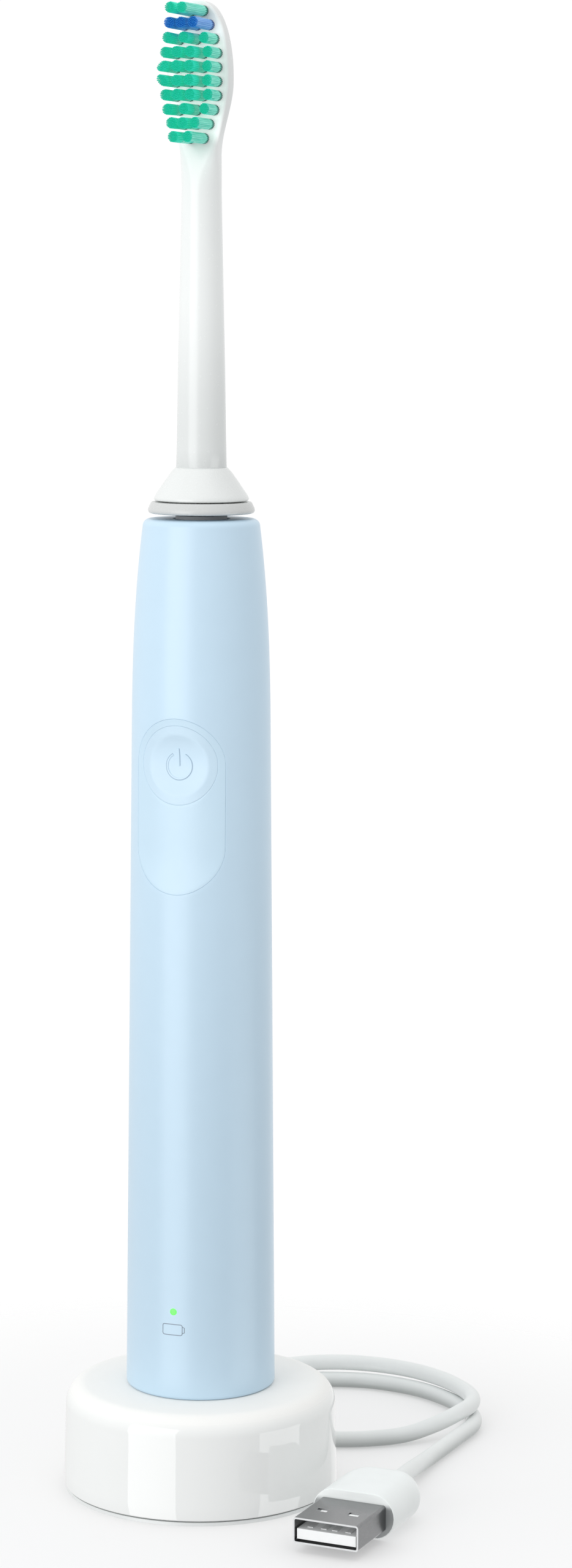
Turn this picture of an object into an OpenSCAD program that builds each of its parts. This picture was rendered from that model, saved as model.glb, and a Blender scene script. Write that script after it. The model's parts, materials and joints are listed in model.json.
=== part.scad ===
// Electric toothbrush standing on its round charger, with a USB lead.
// Millimetres, +Z up, brush axis on Z, button side towards -Y.
// The origin is the centre of the charger's underside.

/* [Charger] */
// Radius of the charger at its foot
charger_foot_r = 24.4; // [22:0.1:26]
// Radius of the charger below its rounded top edge
charger_top_r = 24.0; // [22:0.1:26]
// Height of the charger's top face
charger_h = 19.0; // [17:0.5:22]
// Radius of the rounded top edge
charger_edge_r = 3.6; // [2:0.2:4]
// Thickness of the charger's wall
charger_wall = 1.8; // [1.4:0.1:2.2]
// Radius of the charging peg
peg_r = 4.4; // [4:0.1:4.6]
// Height of the charging peg above the top face
peg_h = 8.6; // [6:0.2:9]
// Height of the rim of the base cover that shows
cover_rim_h = 0.6; // [0.4:0.1:1]

/* [Handle] */
// Height of the handle, from its foot to its flat top
handle_h = 153.8; // [153:0.2:155]
// Radius of the handle at its foot
handle_foot_r = 13.2; // [13:0.1:13.5]
// Loss of radius for each millimetre up the long taper
handle_taper = 0.0093; // [0.008:0.0005:0.01]
// Thickness of the handle's wall
handle_wall = 1.6; // [1.4:0.1:1.8]
// Half width of the pill shaped pad
pad_r = 8.1; // [7.8:0.1:8.4]
// Height of the pad's lower end
pad_low = 108.4; // [106:0.2:110]
// Height of the button's centre
button_z = 130.8; // [130:0.2:132]
// Radius of the button
button_r = 6.82; // [6.4:0.02:6.84]
// Travel of the button
button_travel = 0.5; // [0.3:0.1:0.5]
// Height of the charge light
light_z = 34.8; // [34:0.2:38]

/* [Motor] */
// Radius of the drive shaft
shaft_r = 2.0; // [1.8:0.1:2.2]
// Height of the drive shaft's tip
shaft_tip_z = 196; // [190:1:198]
// Running clearance of the shaft in its bushes
shaft_play = 0.04; // [0.02:0.01:0.08]

/* [Brush head] */
// Height of the seam between the collar and the neck
neck_foot_z = 181.4; // [181:0.2:182]
// Height of the tip of the brush head
head_tip_z = 260.5; // [259:0.5:262]
// Half width of the oval plate
plate_half_w = 5.9; // [5.5:0.1:6.2]
// Distance of the bristle face in front of the axis
face_y = 2.07; // [1.9:0.01:2.3]
// Radius of one bristle tuft
tuft_r = 0.93; // [0.8:0.01:0.98]
// Distance between two rows of tufts
row_pitch = 2.37; // [2.2:0.01:2.4]

/* [Lead] */
// Diameter of the cord
cord_d = 3.0; // [2.8:0.1:3]
// Height of the cord where it leaves the charger
cord_exit_z = 6.0; // [6:0.5:8]
// Width of the plug's metal shell
plug_w = 12.0; // [12:0.1:12]
// Height of the plug's metal shell
plug_h = 4.5; // [4.5:0.1:4.5]
// Length of the metal shell that shows
plug_len = 12.0; // [11.8:0.1:12.2]
// Width of the plug's grip
grip_w = 15.2; // [14:0.1:16]
// Height of the plug's grip
grip_h = 7.9; // [7:0.1:8]
// Length of the plug's grip
grip_len = 16; // [14:0.5:17]

/* [Hidden] */

$fn = 96;
cut = 1;                 // how far a cutter runs past the solid it cuts
fine_gap = 0.1;          // gap between two fixed pieces that don't touch

// Charger
seam_gap = 0.3;
housing_low = cover_rim_h + seam_gap;
housing_in_r = charger_top_r - charger_wall;
peg_top = charger_h + peg_h;
peg_wall = 1.2;

// Handle outline
handle_z = charger_h;
handle_top = handle_z + handle_h;
shoulder_z = 136;        // where the long taper turns into the shoulder
shoulder_drop = 1.75;    // loss of radius over the shoulder
shoulder_power = 2.5;
top_edge_r = 1.3;
foot_edge_r = 0.7;
top_wall = 2.0;
seal_hole_r = 5.0;
button_hole_r = 6.9;

// Pad and button, measured along Y from the brush axis
crown_r = 16;            // radius of the crowned face of the pad and button
crown_y = 11.2;          // front of that face
pad_back_y = 7.9;
pad_seat_y = 6.7;
button_back_y = pad_back_y + button_travel + fine_gap;
stem_r = 1.5;
stem_hole_r = 1.58;
light_r = 0.6;
light_hole_r = 0.65;
light_back_y = 6.4;
dish_r = 5.3;
dish_depth = 1.05;
dish_ball_r = (dish_r * dish_r + dish_depth * dish_depth) / (2 * dish_depth);

// Board, switch and chassis
board_front_y = 5.2;
board_t = 1.0;
board_half_w = 7;
board_low = 33.5;
board_high = 142;
switch_half = 2.6;
switch_front_y = 6.4;
stem_end_y = switch_front_y + button_travel + fine_gap / 2;
plunger_r = 1.2;
plunger_bore_r = 1.25;
chassis_r = 10.2;
chassis_low = 40;
chassis_mid = 146;
chassis_neck = 158;
chassis_top = 166.5;

// Battery
cell_r = 7.0;
cell_y = 3.2;
cell_low = 45;
cell_len = 49;
cell_cap_r = 2.8;
tab_front_y = -3.5;
tab_t = 0.3;

// Motor
core_low = 122;
core_leg_top = 137;
core_half_w = 8;
core_half_d = 2.6;
magnet_low = 138;
magnet_h = 3.5;
yoke_top = 145;
shaft_low = 141.5;
upper_shaft_r = 1.85;
flat_y = 1.3;            // distance of the shaft's flat in front of the axis
flat_low = 178;

// Charging well and the seal round the end cap
end_seal_r = 10.96;
end_seal_section_r = 0.58;
well_r = 4.9;
well_wall = 1.1;
well_top = 28.6;

// Head
socket_low = 176.4;
socket_top = 198;
socket_r = 3.0;
spigot_r = 3.9;
loft_low = 228;          // where the round neck starts to turn into the plate
neck_top_r = 3.45;
loft_foot_r = 3.4;       // the loft starts inside the round neck
plate_back_y = 1.9;
plate_wide_z = 248;
plate_foot_z = 234.5;
row_one_z = 258.7;
tuft_seat = 1.1;         // depth of a tuft's hole

// One tuft is [x, height, length], from its distance off the middle, its row and its length
function tuft_z(row) = row_one_z - row_pitch * (row - 1);
function tuft(x, row, length) = [x, tuft_z(row), length];
blue_tufts = [tuft(-2.25, 2, 7.5), tuft(0, 2, 7.8), tuft(2.25, 2, 8.0)];
green_tufts = concat(
    [tuft(-1.12, 1, 9.8), tuft(1.12, 1, 10.0)],
    [for (row = [3, 8]) each [tuft(-3.15, row, 5.9), tuft(0, row, 6.5), tuft(3.15, row, 5.1)]],
    [for (row = [4, 7]) each [
        tuft(-3.7, row, 5.5), tuft(-1.22, row, 6.7), tuft(1.22, row, 6.8), tuft(3.7, row, 4.9)
    ]],
    [for (row = [5, 6]) each [
        tuft(-3.7, row, 6.9), tuft(-1.22, row, 7.0), tuft(1.22, row, 7.3), tuft(3.7, row, 5.1)
    ]],
    [tuft(-2.25, 9, 6.4), tuft(0, 9, 7.1), tuft(2.25, 9, 7.0)],
    [tuft(-1.28, 10, 8.1), tuft(1.28, 10, 8.0)]
);

// Plug place: centre of the shell's mouth, turned a little about Z
plug_at = [34.3, -29.7, grip_h / 2];
plug_turn = -4;
shell_t = 0.3;
shell_in_grip = 3;
tail_corner_r = 5;
tongue_low = 0.7 - plug_h / 2;
tongue_top = 2.5 - plug_h / 2;
tongue_half_w = 5.4;
tongue_front_y = 0.4;
contact_places = [-3.5, -1.0, 1.0, 3.5];
contact_half_w = 0.5;
contact_front_y = 1.6;
contact_back_y = 4.2;
contact_t = 0.15;

// Rubber sleeve round the cord
relief_tail_r = 2.0;
relief_end_y = 30;

// The cord's route, from inside the charger to the tail of the plug
cord_route = [
    [0, 20, 6], [0, 25, 6], [0, 30, 6], [-0.5, 34, 5.8], [-2.8, 38.8, 5.4], [-6.2, 43.4, 5],
    [-8.8, 48.2, 4.6], [-9, 53.8, 4.5], [-6.6, 59.4, 4.5], [-2, 63.8, 4.5], [4, 66.5, 4.5],
    [11, 67.5, 4.4], [18, 66.3, 4.4], [24.5, 63.2, 4.4], [30, 58.7, 4.4], [33.9, 53.6, 4.5],
    [35.4, 48.6, 4.5], [34.4, 43.8, 4.1], [31.3, 39.6, 2.8], [26.8, 34.8, 1.7], [21, 30.6, 1.5],
    [15, 28, 1.5], [8.5, 27, 1.5], [2, 27.8, 1.5], [-4.5, 30.8, 1.5], [-9.2, 36, 1.5],
    [-11.5, 42.5, 1.5], [-11.5, 49.5, 1.5], [-9, 56, 1.5], [-4, 61.2, 1.5], [3, 64.5, 1.5],
    [11, 65.8, 1.5], [20.5, 63.8, 1.5], [28.5, 58.8, 1.5], [34, 52.8, 1.5], [36.6, 46, 1.5],
    [36.2, 37, 1.5], [35.2, 24, 1.5], [35.4, 10, 2.8], [36.2, -1.8, 3.95]
];
cord_steps = 2;          // rings for each stretch between two points
cord_sides = 8;

// ---------------------------------------------------------------- functions

// Radius of the handle at height z, without its rounded ends
function handle_r(z) =
    handle_foot_r - handle_taper * (z - handle_z)
    - shoulder_drop * pow(max(0, (z - shoulder_z) / (handle_top - shoulder_z)), shoulder_power);

// Half width of the brush plate at height z
function smooth(t) = t * t * (3 - 2 * t);
function clamp01(t) = min(1, max(0, t));
function plate_w(z) =
    z > plate_wide_z
    ? plate_half_w * pow(1 - pow((z - plate_wide_z) / (head_tip_z - plate_wide_z), 2.3), 1 / 2.3)
    : loft_foot_r + (plate_half_w - loft_foot_r)
      * smooth(clamp01((z - plate_foot_z) / (plate_wide_z - plate_foot_z - 1)));

// How far the neck has turned into the plate at height z
function plate_part(z) = smooth(clamp01((z - loft_low) / (plate_foot_z + 4 - loft_low)));

// A point of the loft's ring at height z and angle a
function signed_pow(v, p) = sign(v) * pow(abs(v), p);
function mix(a, b, t) = a + (b - a) * t;
function loft_point(z, a) =
    let (
        part = plate_part(z),
        end_part = clamp01((z - plate_wide_z) / (head_tip_z - plate_wide_z)),
        front = sin(a) < 0,
        squareness = front ? mix(2, 5, part) : mix(2, 2.6, part),
        depth = mix(loft_foot_r, front ? face_y : plate_back_y, part),
        back_trim = front ? 1 : 1 - 0.35 * pow(end_part, 3)
    )
    [
        plate_w(z) * signed_pow(cos(a), 2 / squareness),
        depth * back_trim * signed_pow(sin(a), 2 / squareness),
        z
    ];

// A point on the smooth curve through p1 and p2, at t from 0 to 1
function curve_point(p0, p1, p2, p3, t) =
    0.5 * (2 * p1 + (p2 - p0) * t + (2 * p0 - 5 * p1 + 4 * p2 - p3) * t * t
    + (3 * p1 - p0 - 3 * p2 + p3) * t * t * t);
function route_at(path, i) = path[min(len(path) - 1, max(0, i))];
function smooth_route(path, steps) = [
    for (i = [0 : len(path) - 2], s = [0 : steps - 1])
        curve_point(route_at(path, i - 1), path[i], path[i + 1], route_at(path, i + 2), s / steps),
    path[len(path) - 1]
];
function unit(v) = v / norm(v);

// ---------------------------------------------------------------- helpers

// A closed solid through rings that all have the same number of points
module skin(rings) {
    n = len(rings[0]);
    last = len(rings) - 1;
    polyhedron(
        points = [for (ring = rings, p = ring) p],
        faces = concat(
            [[for (i = [n - 1 : -1 : 0]) i]],
            [for (j = [0 : last - 1], i = [0 : n - 1])
                [j * n + i, j * n + (i + 1) % n, (j + 1) * n + (i + 1) % n, (j + 1) * n + i]],
            [[for (i = [0 : n - 1]) last * n + i]]
        )
    );
}

// A round tube swept along a route of points
module sweep_cord(path, d, sides) {
    rings = [
        for (i = [0 : len(path) - 1])
            let (
                t = unit(route_at(path, i + 1) - route_at(path, i - 1)),
                side = unit(cross(t, [0, 0, 1])),
                up = cross(side, t)
            )
            [for (k = [0 : sides - 1])
                path[i] + d / 2 * (cos(360 * k / sides) * side + sin(360 * k / sides) * up)]
    ];
    skin(rings);
}

module box(low, high) {
    translate(low) cube(high - low);
}

module tube(outer_r, inner_r, low, high) {
    translate([0, 0, low]) difference() {
        cylinder(r = outer_r, h = high - low);
        translate([0, 0, -cut]) cylinder(r = inner_r, h = high - low + 2 * cut);
    }
}

module disc(r, low, high) {
    translate([0, 0, low]) cylinder(r = r, h = high - low);
}

// A cylinder along Y, from front_y to back_y, at height z
module rod_y(r, front_y, back_y, z, x = 0) {
    translate([x, front_y, z]) rotate([-90, 0, 0]) cylinder(r = r, h = back_y - front_y);
}

// The pill outline of the pad as a prism along Y
module pill(r, front_y, back_y) {
    top = button_z;
    low = pad_low + pad_r;
    rod_y(r, front_y, back_y, top);
    rod_y(r, front_y, back_y, low);
    box([-r, front_y, low], [r, back_y, top]);
}

// A rectangle with round corners
module round_rect(w, h, r) {
    square([w - 2 * r, h], center = true);
    square([w, h - 2 * r], center = true);
    for (x = [-1, 1], y = [-1, 1]) {
        translate([x * (w / 2 - r), y * (h / 2 - r)]) circle(r = r, $fn = 32);
    }
}

// Puts a piece of the plug in its place: mouth at Y = 0, cord end towards +Y
module at_plug() {
    translate(plug_at) rotate([0, 0, plug_turn]) children();
}

// A prism along +Y from a 2D outline in X and Z
module prism_y(front_y, back_y) {
    translate([0, back_y, 0]) rotate([90, 0, 0]) linear_extrude(back_y - front_y) children();
}

// ---------------------------------------------------------------- charger

module charger_outline(grow) {
    steps = 8;
    polygon(concat(
        [[0, housing_low - grow], [charger_foot_r + grow, housing_low - grow]],
        [for (i = [0 : steps])
            let (a = 90 * i / steps, r = charger_edge_r + grow)
            [charger_top_r - charger_edge_r + r * cos(a), charger_h - charger_edge_r + r * sin(a)]],
        [[0, charger_h + grow]]
    ));
}

module charger_housing() {
    color([0.93, 0.95, 0.945]) difference() {
        union() {
            rotate_extrude() charger_outline(0);
            disc(peg_r, charger_h - charger_wall, peg_top - 0.8);
            disc(peg_r - 0.8, peg_top - 0.8, peg_top);
            translate([0, 0, peg_top - 0.8]) rotate_extrude() {
                translate([peg_r - 0.8, 0]) circle(r = 0.8, $fn = 32);
            }
        }
        disc(housing_in_r, -cut, charger_h - charger_edge_r);
        disc(housing_in_r - 2, charger_h - charger_edge_r - cut, charger_h - charger_wall);
        disc(peg_r - peg_wall, 0, peg_top - peg_wall);
        rod_y(2.6, charger_top_r - 4, charger_foot_r + cut, cord_exit_z);
    }
}

module charger_base_cover() {
    color([0.9, 0.92, 0.915]) {
        difference() {
            union() {
                disc(charger_foot_r - 0.4, 0, cover_rim_h);
                tube(housing_in_r - fine_gap, housing_in_r - 1.5, cover_rim_h - 0.01, 3.2);
            }
            rod_y(3.9, housing_in_r - 4, charger_foot_r, cord_exit_z);
        }
        tube(6, 4.2, cover_rim_h - 0.01, 4.2);
        for (a = [30 : 120 : 270]) {
            rotate([0, 0, a]) translate([14, 0, cover_rim_h - 0.01]) cylinder(r = 1.5, h = 3);
        }
    }
}

module charger_bobbin() {
    color([0.2, 0.2, 0.22]) {
        tube(3.7, 3.0, 4.2, 16.8);
        tube(9.4, 3.0, 4.2, 5.0);
        tube(9.4, 3.0, 16.0, 16.8);
    }
}

module charger_coil() {
    color([0.72, 0.42, 0.2]) tube(9.0, 3.8, 5.1, 15.9);
}

module charger_core() {
    color([0.25, 0.24, 0.24]) disc(2.9, 4.2, peg_top - peg_wall - 0.4);
}

module charger_board() {
    color([0.1, 0.4, 0.22]) difference() {
        disc(20.2, 3.6, 4.8);
        disc(10.4, 3, 6);
        box([-21, -21, 3], [21, -6, 6]);
        box([-4.5, 17.5, 3], [4.5, 21, 6]);
    }
}

module charger_board_parts() {
    color([0.15, 0.15, 0.16]) {
        box([11.5, -3, 4.8], [16.5, 2, 6.3]);
        box([-17, 2, 4.8], [-12, 6, 6]);
        box([-6, 12.5, 4.8], [-3, 15.5, 6.5]);
        translate([13, 8, 4.8]) cylinder(r = 2.5, h = 6);
        translate([-12, 10, 4.8]) cylinder(r = 2, h = 5);
    }
}

// Rubber sleeve that guides the cord out of the back wall
module cord_relief() {
    color([0.9, 0.92, 0.915]) translate([0, 0, cord_exit_z]) rotate([-90, 0, 0]) difference() {
        rotate_extrude() polygon([
            [0, 20.4], [3.6, 20.4], [3.6, 21.7], [2.55, 21.9], [2.55, 24.7],
            [2.85, 24.7], [2.7, 26.5], [relief_tail_r, relief_end_y], [0, relief_end_y]
        ]);
        cylinder(r = cord_d / 2 + 0.06, h = 40);
    }
}

module power_cord() {
    color([0.88, 0.9, 0.895]) sweep_cord(smooth_route(cord_route, cord_steps), cord_d, cord_sides);
}

// ---------------------------------------------------------------- plug

module plug_grip() {
    color([0.94, 0.955, 0.95]) at_plug() difference() {
        union() {
            intersection() {
                prism_y(plug_len, plug_len + grip_len) {
                    square([grip_w - grip_h, grip_h], center = true);
                    for (x = [-1, 1]) {
                        translate([x * (grip_w - grip_h) / 2, 0]) circle(r = grip_h / 2);
                    }
                }
                translate([0, plug_len, -grip_h]) linear_extrude(2 * grip_h) {
                    translate([-grip_w / 2, 0]) square([grip_w, grip_len - tail_corner_r]);
                    translate([tail_corner_r - grip_w / 2, 0]) {
                        square([grip_w - 2 * tail_corner_r, grip_len]);
                    }
                    for (x = [-1, 1]) {
                        translate([x * (grip_w / 2 - tail_corner_r), grip_len - tail_corner_r]) {
                            circle(r = tail_corner_r);
                        }
                    }
                }
            }
        }
        prism_y(plug_len - cut, plug_len + shell_in_grip) square([plug_w, plug_h], center = true);
    }
}

module plug_shell() {
    hole_x = 2.9;
    hole_y = 5.4;
    color([0.55, 0.56, 0.57]) at_plug() difference() {
        prism_y(0, plug_len + shell_in_grip) round_rect(plug_w, plug_h, 0.5);
        prism_y(-cut, plug_len + shell_in_grip - shell_t) {
            round_rect(plug_w - 2 * shell_t, plug_h - 2 * shell_t, 0.25);
        }
        for (x = [-1, 1]) {
            box([x * hole_x - 1.0, hole_y - 0.75, 1], [x * hole_x + 1.0, hole_y + 0.75, 3]);
        }
    }
}

module plug_tongue() {
    color([0.95, 0.96, 0.96]) at_plug() {
        box([-tongue_half_w, tongue_front_y, tongue_low],
            [tongue_half_w, plug_len + shell_in_grip - shell_t, tongue_top]);
    }
}

module plug_contacts() {
    color([0.8, 0.8, 0.77]) at_plug() for (x = contact_places) {
        box([x - contact_half_w, contact_front_y, tongue_top],
            [x + contact_half_w, contact_back_y, tongue_top + contact_t]);
    }
}

// ---------------------------------------------------------------- handle

// Outline of the handle moved inwards by an inset, as a half section
module handle_outline(inset, low, high) {
    rings = 20;
    edge_steps = 6;
    shape_top = handle_top - top_edge_r;
    heights = [for (i = [0 : rings]) mix(handle_z + foot_edge_r, shape_top, pow(i / rings, 0.6))];
    difference() {
        polygon(concat(
            [[0, handle_z - inset]],
            [for (i = [0 : edge_steps])
                let (a = -90 + 90 * i / edge_steps, r = foot_edge_r)
                [handle_foot_r - inset - r + r * cos(a), handle_z + r + r * sin(a)]],
            [for (i = [1 : rings - 1]) [handle_r(heights[i]) - inset, heights[i]]],
            [for (i = [0 : edge_steps])
                let (a = 90 * i / edge_steps, r = top_edge_r)
                [handle_r(shape_top) - inset - r + r * cos(a), shape_top + r * sin(a)]],
            [[0, handle_top]]
        ));
        translate([-cut, low - 100]) square([50, 100]);
        translate([-cut, high]) square([50, 100]);
    }
}

module handle_shell() {
    color([0.75, 0.86, 0.94]) difference() {
        union() {
            difference() {
                rotate_extrude() handle_outline(0, handle_z, handle_top);
                rotate_extrude() {
                    handle_outline(handle_wall, handle_z - cut, handle_top - top_wall);
                }
                disc(handle_foot_r - handle_wall, handle_z - cut, handle_z + 4);
            }
            intersection() {
                disc(handle_r(120) - 0.8, pad_low - 4, button_z + pad_r + 4);
                box([-12, -14, pad_low - 4], [12, -pad_seat_y, button_z + pad_r + 4]);
            }
        }
        pill(pad_r, -20, -pad_back_y);
        rod_y(stem_hole_r, -10, 0, button_z);
        rod_y(light_hole_r, -15, -9, light_z);
        disc(seal_hole_r, handle_top - 5, handle_top + cut);
    }
}

// The crowned face that the pad and the button share
module crown_body(low, high) {
    translate([0, crown_r - crown_y, low]) cylinder(r = crown_r, h = high - low, $fn = 200);
}

module grip_pad() {
    color([0.77, 0.88, 0.955]) difference() {
        intersection() {
            pill(pad_r, -14, -pad_back_y);
            crown_body(pad_low - 1, button_z + pad_r + 1);
        }
        rod_y(button_hole_r, -14, 0, button_z);
    }
}

module power_button() {
    color([0.8, 0.9, 0.965]) {
        difference() {
            intersection() {
                rod_y(button_r, -14, -button_back_y, button_z);
                crown_body(button_z - 8, button_z + 8);
            }
            translate([0, -crown_y + dish_depth - dish_ball_r, button_z]) {
                sphere(r = dish_ball_r, $fn = 128);
            }
        }
        rod_y(stem_r, -button_back_y - 0.5, -stem_end_y, button_z);
    }
}

module switch_plunger() {
    color([0.15, 0.15, 0.16]) rod_y(plunger_r, -stem_end_y, -5.9, button_z);
}

module charge_light_guide() {
    color([0.45, 0.85, 0.45]) rod_y(light_r, -handle_r(light_z), -light_back_y, light_z);
}

module handle_end_cap() {
    cap_r = handle_foot_r - handle_wall - 0.05;
    color([0.72, 0.83, 0.91]) difference() {
        union() {
            disc(cap_r, handle_z, handle_z + 3.4);
            disc(well_r + well_wall, handle_z + 1, well_top + well_wall);
        }
        disc(well_r, handle_z - cut, well_top);
        tube(cap_r + cut, cap_r - 1.2, handle_z + 1.2, handle_z + 2.6);
    }
}

module end_cap_seal() {
    color([0.1, 0.1, 0.1]) translate([0, 0, handle_z + 1.9]) rotate_extrude() {
        translate([end_seal_r, 0]) circle(r = end_seal_section_r, $fn = 32);
    }
}

module pickup_bobbin() {
    color([0.2, 0.2, 0.22]) {
        tube(6.6, 6.1, 22.6, 31.2);
        tube(9.6, 6.1, 22.6, 23.2);
        tube(9.6, 6.1, 30.6, 31.2);
    }
}

module pickup_coil() {
    color([0.72, 0.42, 0.2]) tube(9.0, 6.7, 23.3, 30.5);
}

module chassis() {
    wide = 20;
    color([0.85, 0.86, 0.86]) difference() {
        union() {
            disc(chassis_r, chassis_low, chassis_mid);
            disc(9.5, chassis_mid - cut, chassis_neck);
            disc(8.7, chassis_neck - cut, chassis_top);
        }
        box([-wide, -wide, 0], [wide, board_t - board_front_y, 149]);
        translate([0, cell_y, cell_low - 0.5]) cylinder(r = cell_r + 0.15, h = cell_len + 1);
        box([-cell_r - 0.15, cell_y, cell_low - 0.5], [cell_r + 0.15, wide, cell_low + cell_len + 0.5]);
        box([-7.5, -2.4, 99], [7.5, wide, 118]);
        box([-8.4, -wide, core_low - 0.1], [8.4, wide, 149]);
        disc(shaft_r + 0.8, 140, chassis_top + cut);
        disc(5, 150, 154);
        disc(5, 161, chassis_top + cut);
    }
}

module battery_cell() {
    color([0.2, 0.45, 0.3]) translate([0, cell_y, cell_low]) {
        cylinder(r = cell_r, h = cell_len - 1);
        cylinder(r = cell_cap_r, h = cell_len);
    }
}

module battery_tabs() {
    color([0.75, 0.75, 0.74]) {
        box([-2, tab_front_y, cell_low - tab_t], [2, 6, cell_low]);
        box([-2, tab_front_y, cell_low + cell_len], [2, 6, cell_low + cell_len + tab_t]);
    }
}

module circuit_board() {
    color([0.1, 0.4, 0.22]) {
        box([-board_half_w, -board_front_y, board_low], [board_half_w, board_t - board_front_y, board_high]);
    }
}

module circuit_board_parts() {
    front = -board_front_y;
    color([0.15, 0.15, 0.16]) {
        box([-2.5, front - 1, 92], [2.5, front, 97]);
        box([-5.5, front - 1.6, 78], [-1.5, front, 82]);
        box([2, front - 1.2, 76], [5.5, front, 80]);
        box([-0.6, front - 0.9, light_z - 0.6], [0.6, front, light_z + 0.6]);
        for (z = [50 : 5 : 70]) {
            box([-4.8, front - 0.5, z], [-3.2, front, z + 0.8]);
            box([3.2, front - 0.5, z], [4.8, front, z + 0.8]);
        }
    }
}

module switch_body() {
    color([0.6, 0.6, 0.62]) difference() {
        box([-switch_half, -switch_front_y, button_z - switch_half],
            [switch_half, -board_front_y, button_z + switch_half]);
        rod_y(plunger_bore_r, -switch_front_y - cut, -board_front_y - 0.15, button_z);
    }
}

// ---------------------------------------------------------------- motor

module stator_core() {
    color([0.45, 0.45, 0.47]) {
        box([-core_half_w, -core_half_d, core_low], [core_half_w, core_half_d, core_low + 4]);
        box([-core_half_w, -core_half_d, core_low], [-5.4, core_half_d, core_leg_top]);
        box([5.4, -core_half_d, core_low], [core_half_w, core_half_d, core_leg_top]);
        box([-1.8, -core_half_d, core_low], [1.8, core_half_d, core_leg_top]);
    }
}

module stator_coil() {
    color([0.72, 0.42, 0.2]) difference() {
        box([-5.2, -3.8, core_low + 4.2], [5.2, 3.8, core_leg_top - 0.6]);
        box([-1.9, -2.7, core_low], [1.9, 2.7, core_leg_top]);
    }
}

module rotor_yoke() {
    color([0.5, 0.5, 0.52]) difference() {
        box([-7, -2.9, magnet_low + magnet_h], [7, 2.9, yoke_top]);
        disc(shaft_r, 130, 150);
    }
}

module rotor_magnets() {
    color([0.7, 0.7, 0.72]) for (x = [-1, 1]) {
        box([min(x * 1.2, x * 6.6), -2.6, magnet_low], [max(x * 1.2, x * 6.6), 2.6, magnet_low + magnet_h]);
    }
}

module drive_shaft() {
    color([0.75, 0.75, 0.76]) difference() {
        union() {
            disc(shaft_r, shaft_low, 175.4);
            disc(upper_shaft_r, 175, shaft_tip_z - 0.5);
            translate([0, 0, shaft_tip_z - 0.5]) {
                rotate_extrude() polygon([[0, 0], [upper_shaft_r, 0], [upper_shaft_r - 0.5, 0.5], [0, 0.5]]);
            }
        }
        box([-5, -5, flat_low], [5, -flat_y, shaft_tip_z + cut]);
    }
}

module lower_bush() {
    color([0.8, 0.65, 0.35]) tube(5, shaft_r + shaft_play, 150, 154);
}

module upper_bush() {
    color([0.8, 0.65, 0.35]) tube(5, shaft_r + shaft_play, 161, 165);
}

module shaft_seal() {
    color([0.25, 0.26, 0.28]) difference() {
        union() {
            disc(seal_hole_r, 167.6, handle_top - 0.4);
            disc(4.5, 168, handle_top + 0.3);
        }
        disc(shaft_r + shaft_play, 160, 180);
    }
}

// ---------------------------------------------------------------- brush head

module brush_head_shell() {
    loft_steps = 22;
    ring_points = 28;
    color([0.93, 0.945, 0.94]) difference() {
        union() {
            rotate_extrude() polygon([
                [0, socket_low], [spigot_r, socket_low], [spigot_r, neck_foot_z],
                [4.37, neck_foot_z], [4.3, 184], [4.04, 200], [3.66, 217],
                [neck_top_r, loft_low], [0, loft_low]
            ]);
            skin([for (i = [0 : loft_steps])
                let (z = mix(loft_low - 2, head_tip_z - 0.08, 1 - pow(1 - i / loft_steps, 1.5)))
                [for (k = [0 : ring_points - 1]) loft_point(z, -360 * k / ring_points)]]);
        }
        disc(socket_r, socket_low - cut, socket_top + 1);
        for (t = concat(blue_tufts, green_tufts)) {
            rod_y(tuft_r + 0.01, -face_y - cut, -face_y + tuft_seat, t[1], t[0], $fn = 24);
        }
    }
}

module collar_skirt() {
    color([0.93, 0.945, 0.94]) difference() {
        rotate_extrude() polygon([
            [0, 175.7], [8.0, 175.7], [8.2, 176], [7.9, 176.7], [7.1, 177.95],
            [6.25, 179.2], [5.25, 180.5], [4.45, neck_foot_z], [0, neck_foot_z]
        ]);
        disc(spigot_r, 170, 190);
        disc(6.2, 175, 177.4);
    }
}

module colour_ring() {
    color([0.62, 0.65, 0.66]) rotate_extrude() polygon([
        [6.4, 173.3], [8.8, 173.3], [9.15, 173.6], [9.28, 174.1], [9.0, 174.8],
        [8.7, 175.5], [6.4, 175.5]
    ]);
}

// Sleeve with a flat inside that the shaft drives
module shaft_socket() {
    color([0.9, 0.9, 0.9]) difference() {
        union() {
            disc(socket_r, 175.8, socket_top);
            tube(6.0, socket_r - 0.5, 173.4, socket_low);
        }
        difference() {
            disc(upper_shaft_r + 0.05, 170, shaft_tip_z + 1);
            box([-5, -5, flat_low + 0.5], [5, -flat_y - 0.05, shaft_tip_z + 2]);
        }
        disc(shaft_r + 0.3, 170, 175.7);
    }
}

// Spring clip that grips the shaft below its flat
module socket_clip() {
    color([0.75, 0.75, 0.76]) difference() {
        tube(6.38, 6.05, 173.6, 175.3);
        box([-2, -10, 170], [2, 0, 180]);
    }
}

module tufts(list) {
    for (t = list) {
        rod_y(tuft_r, -face_y - t[2], -face_y + tuft_seat, t[1], t[0]);
    }
}

module bristles_green() {
    color([0.62, 0.85, 0.74]) tufts(green_tufts);
}

module bristles_blue() {
    color([0.45, 0.68, 0.86]) tufts(blue_tufts);
}

// ---------------------------------------------------------------- nodes

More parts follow.
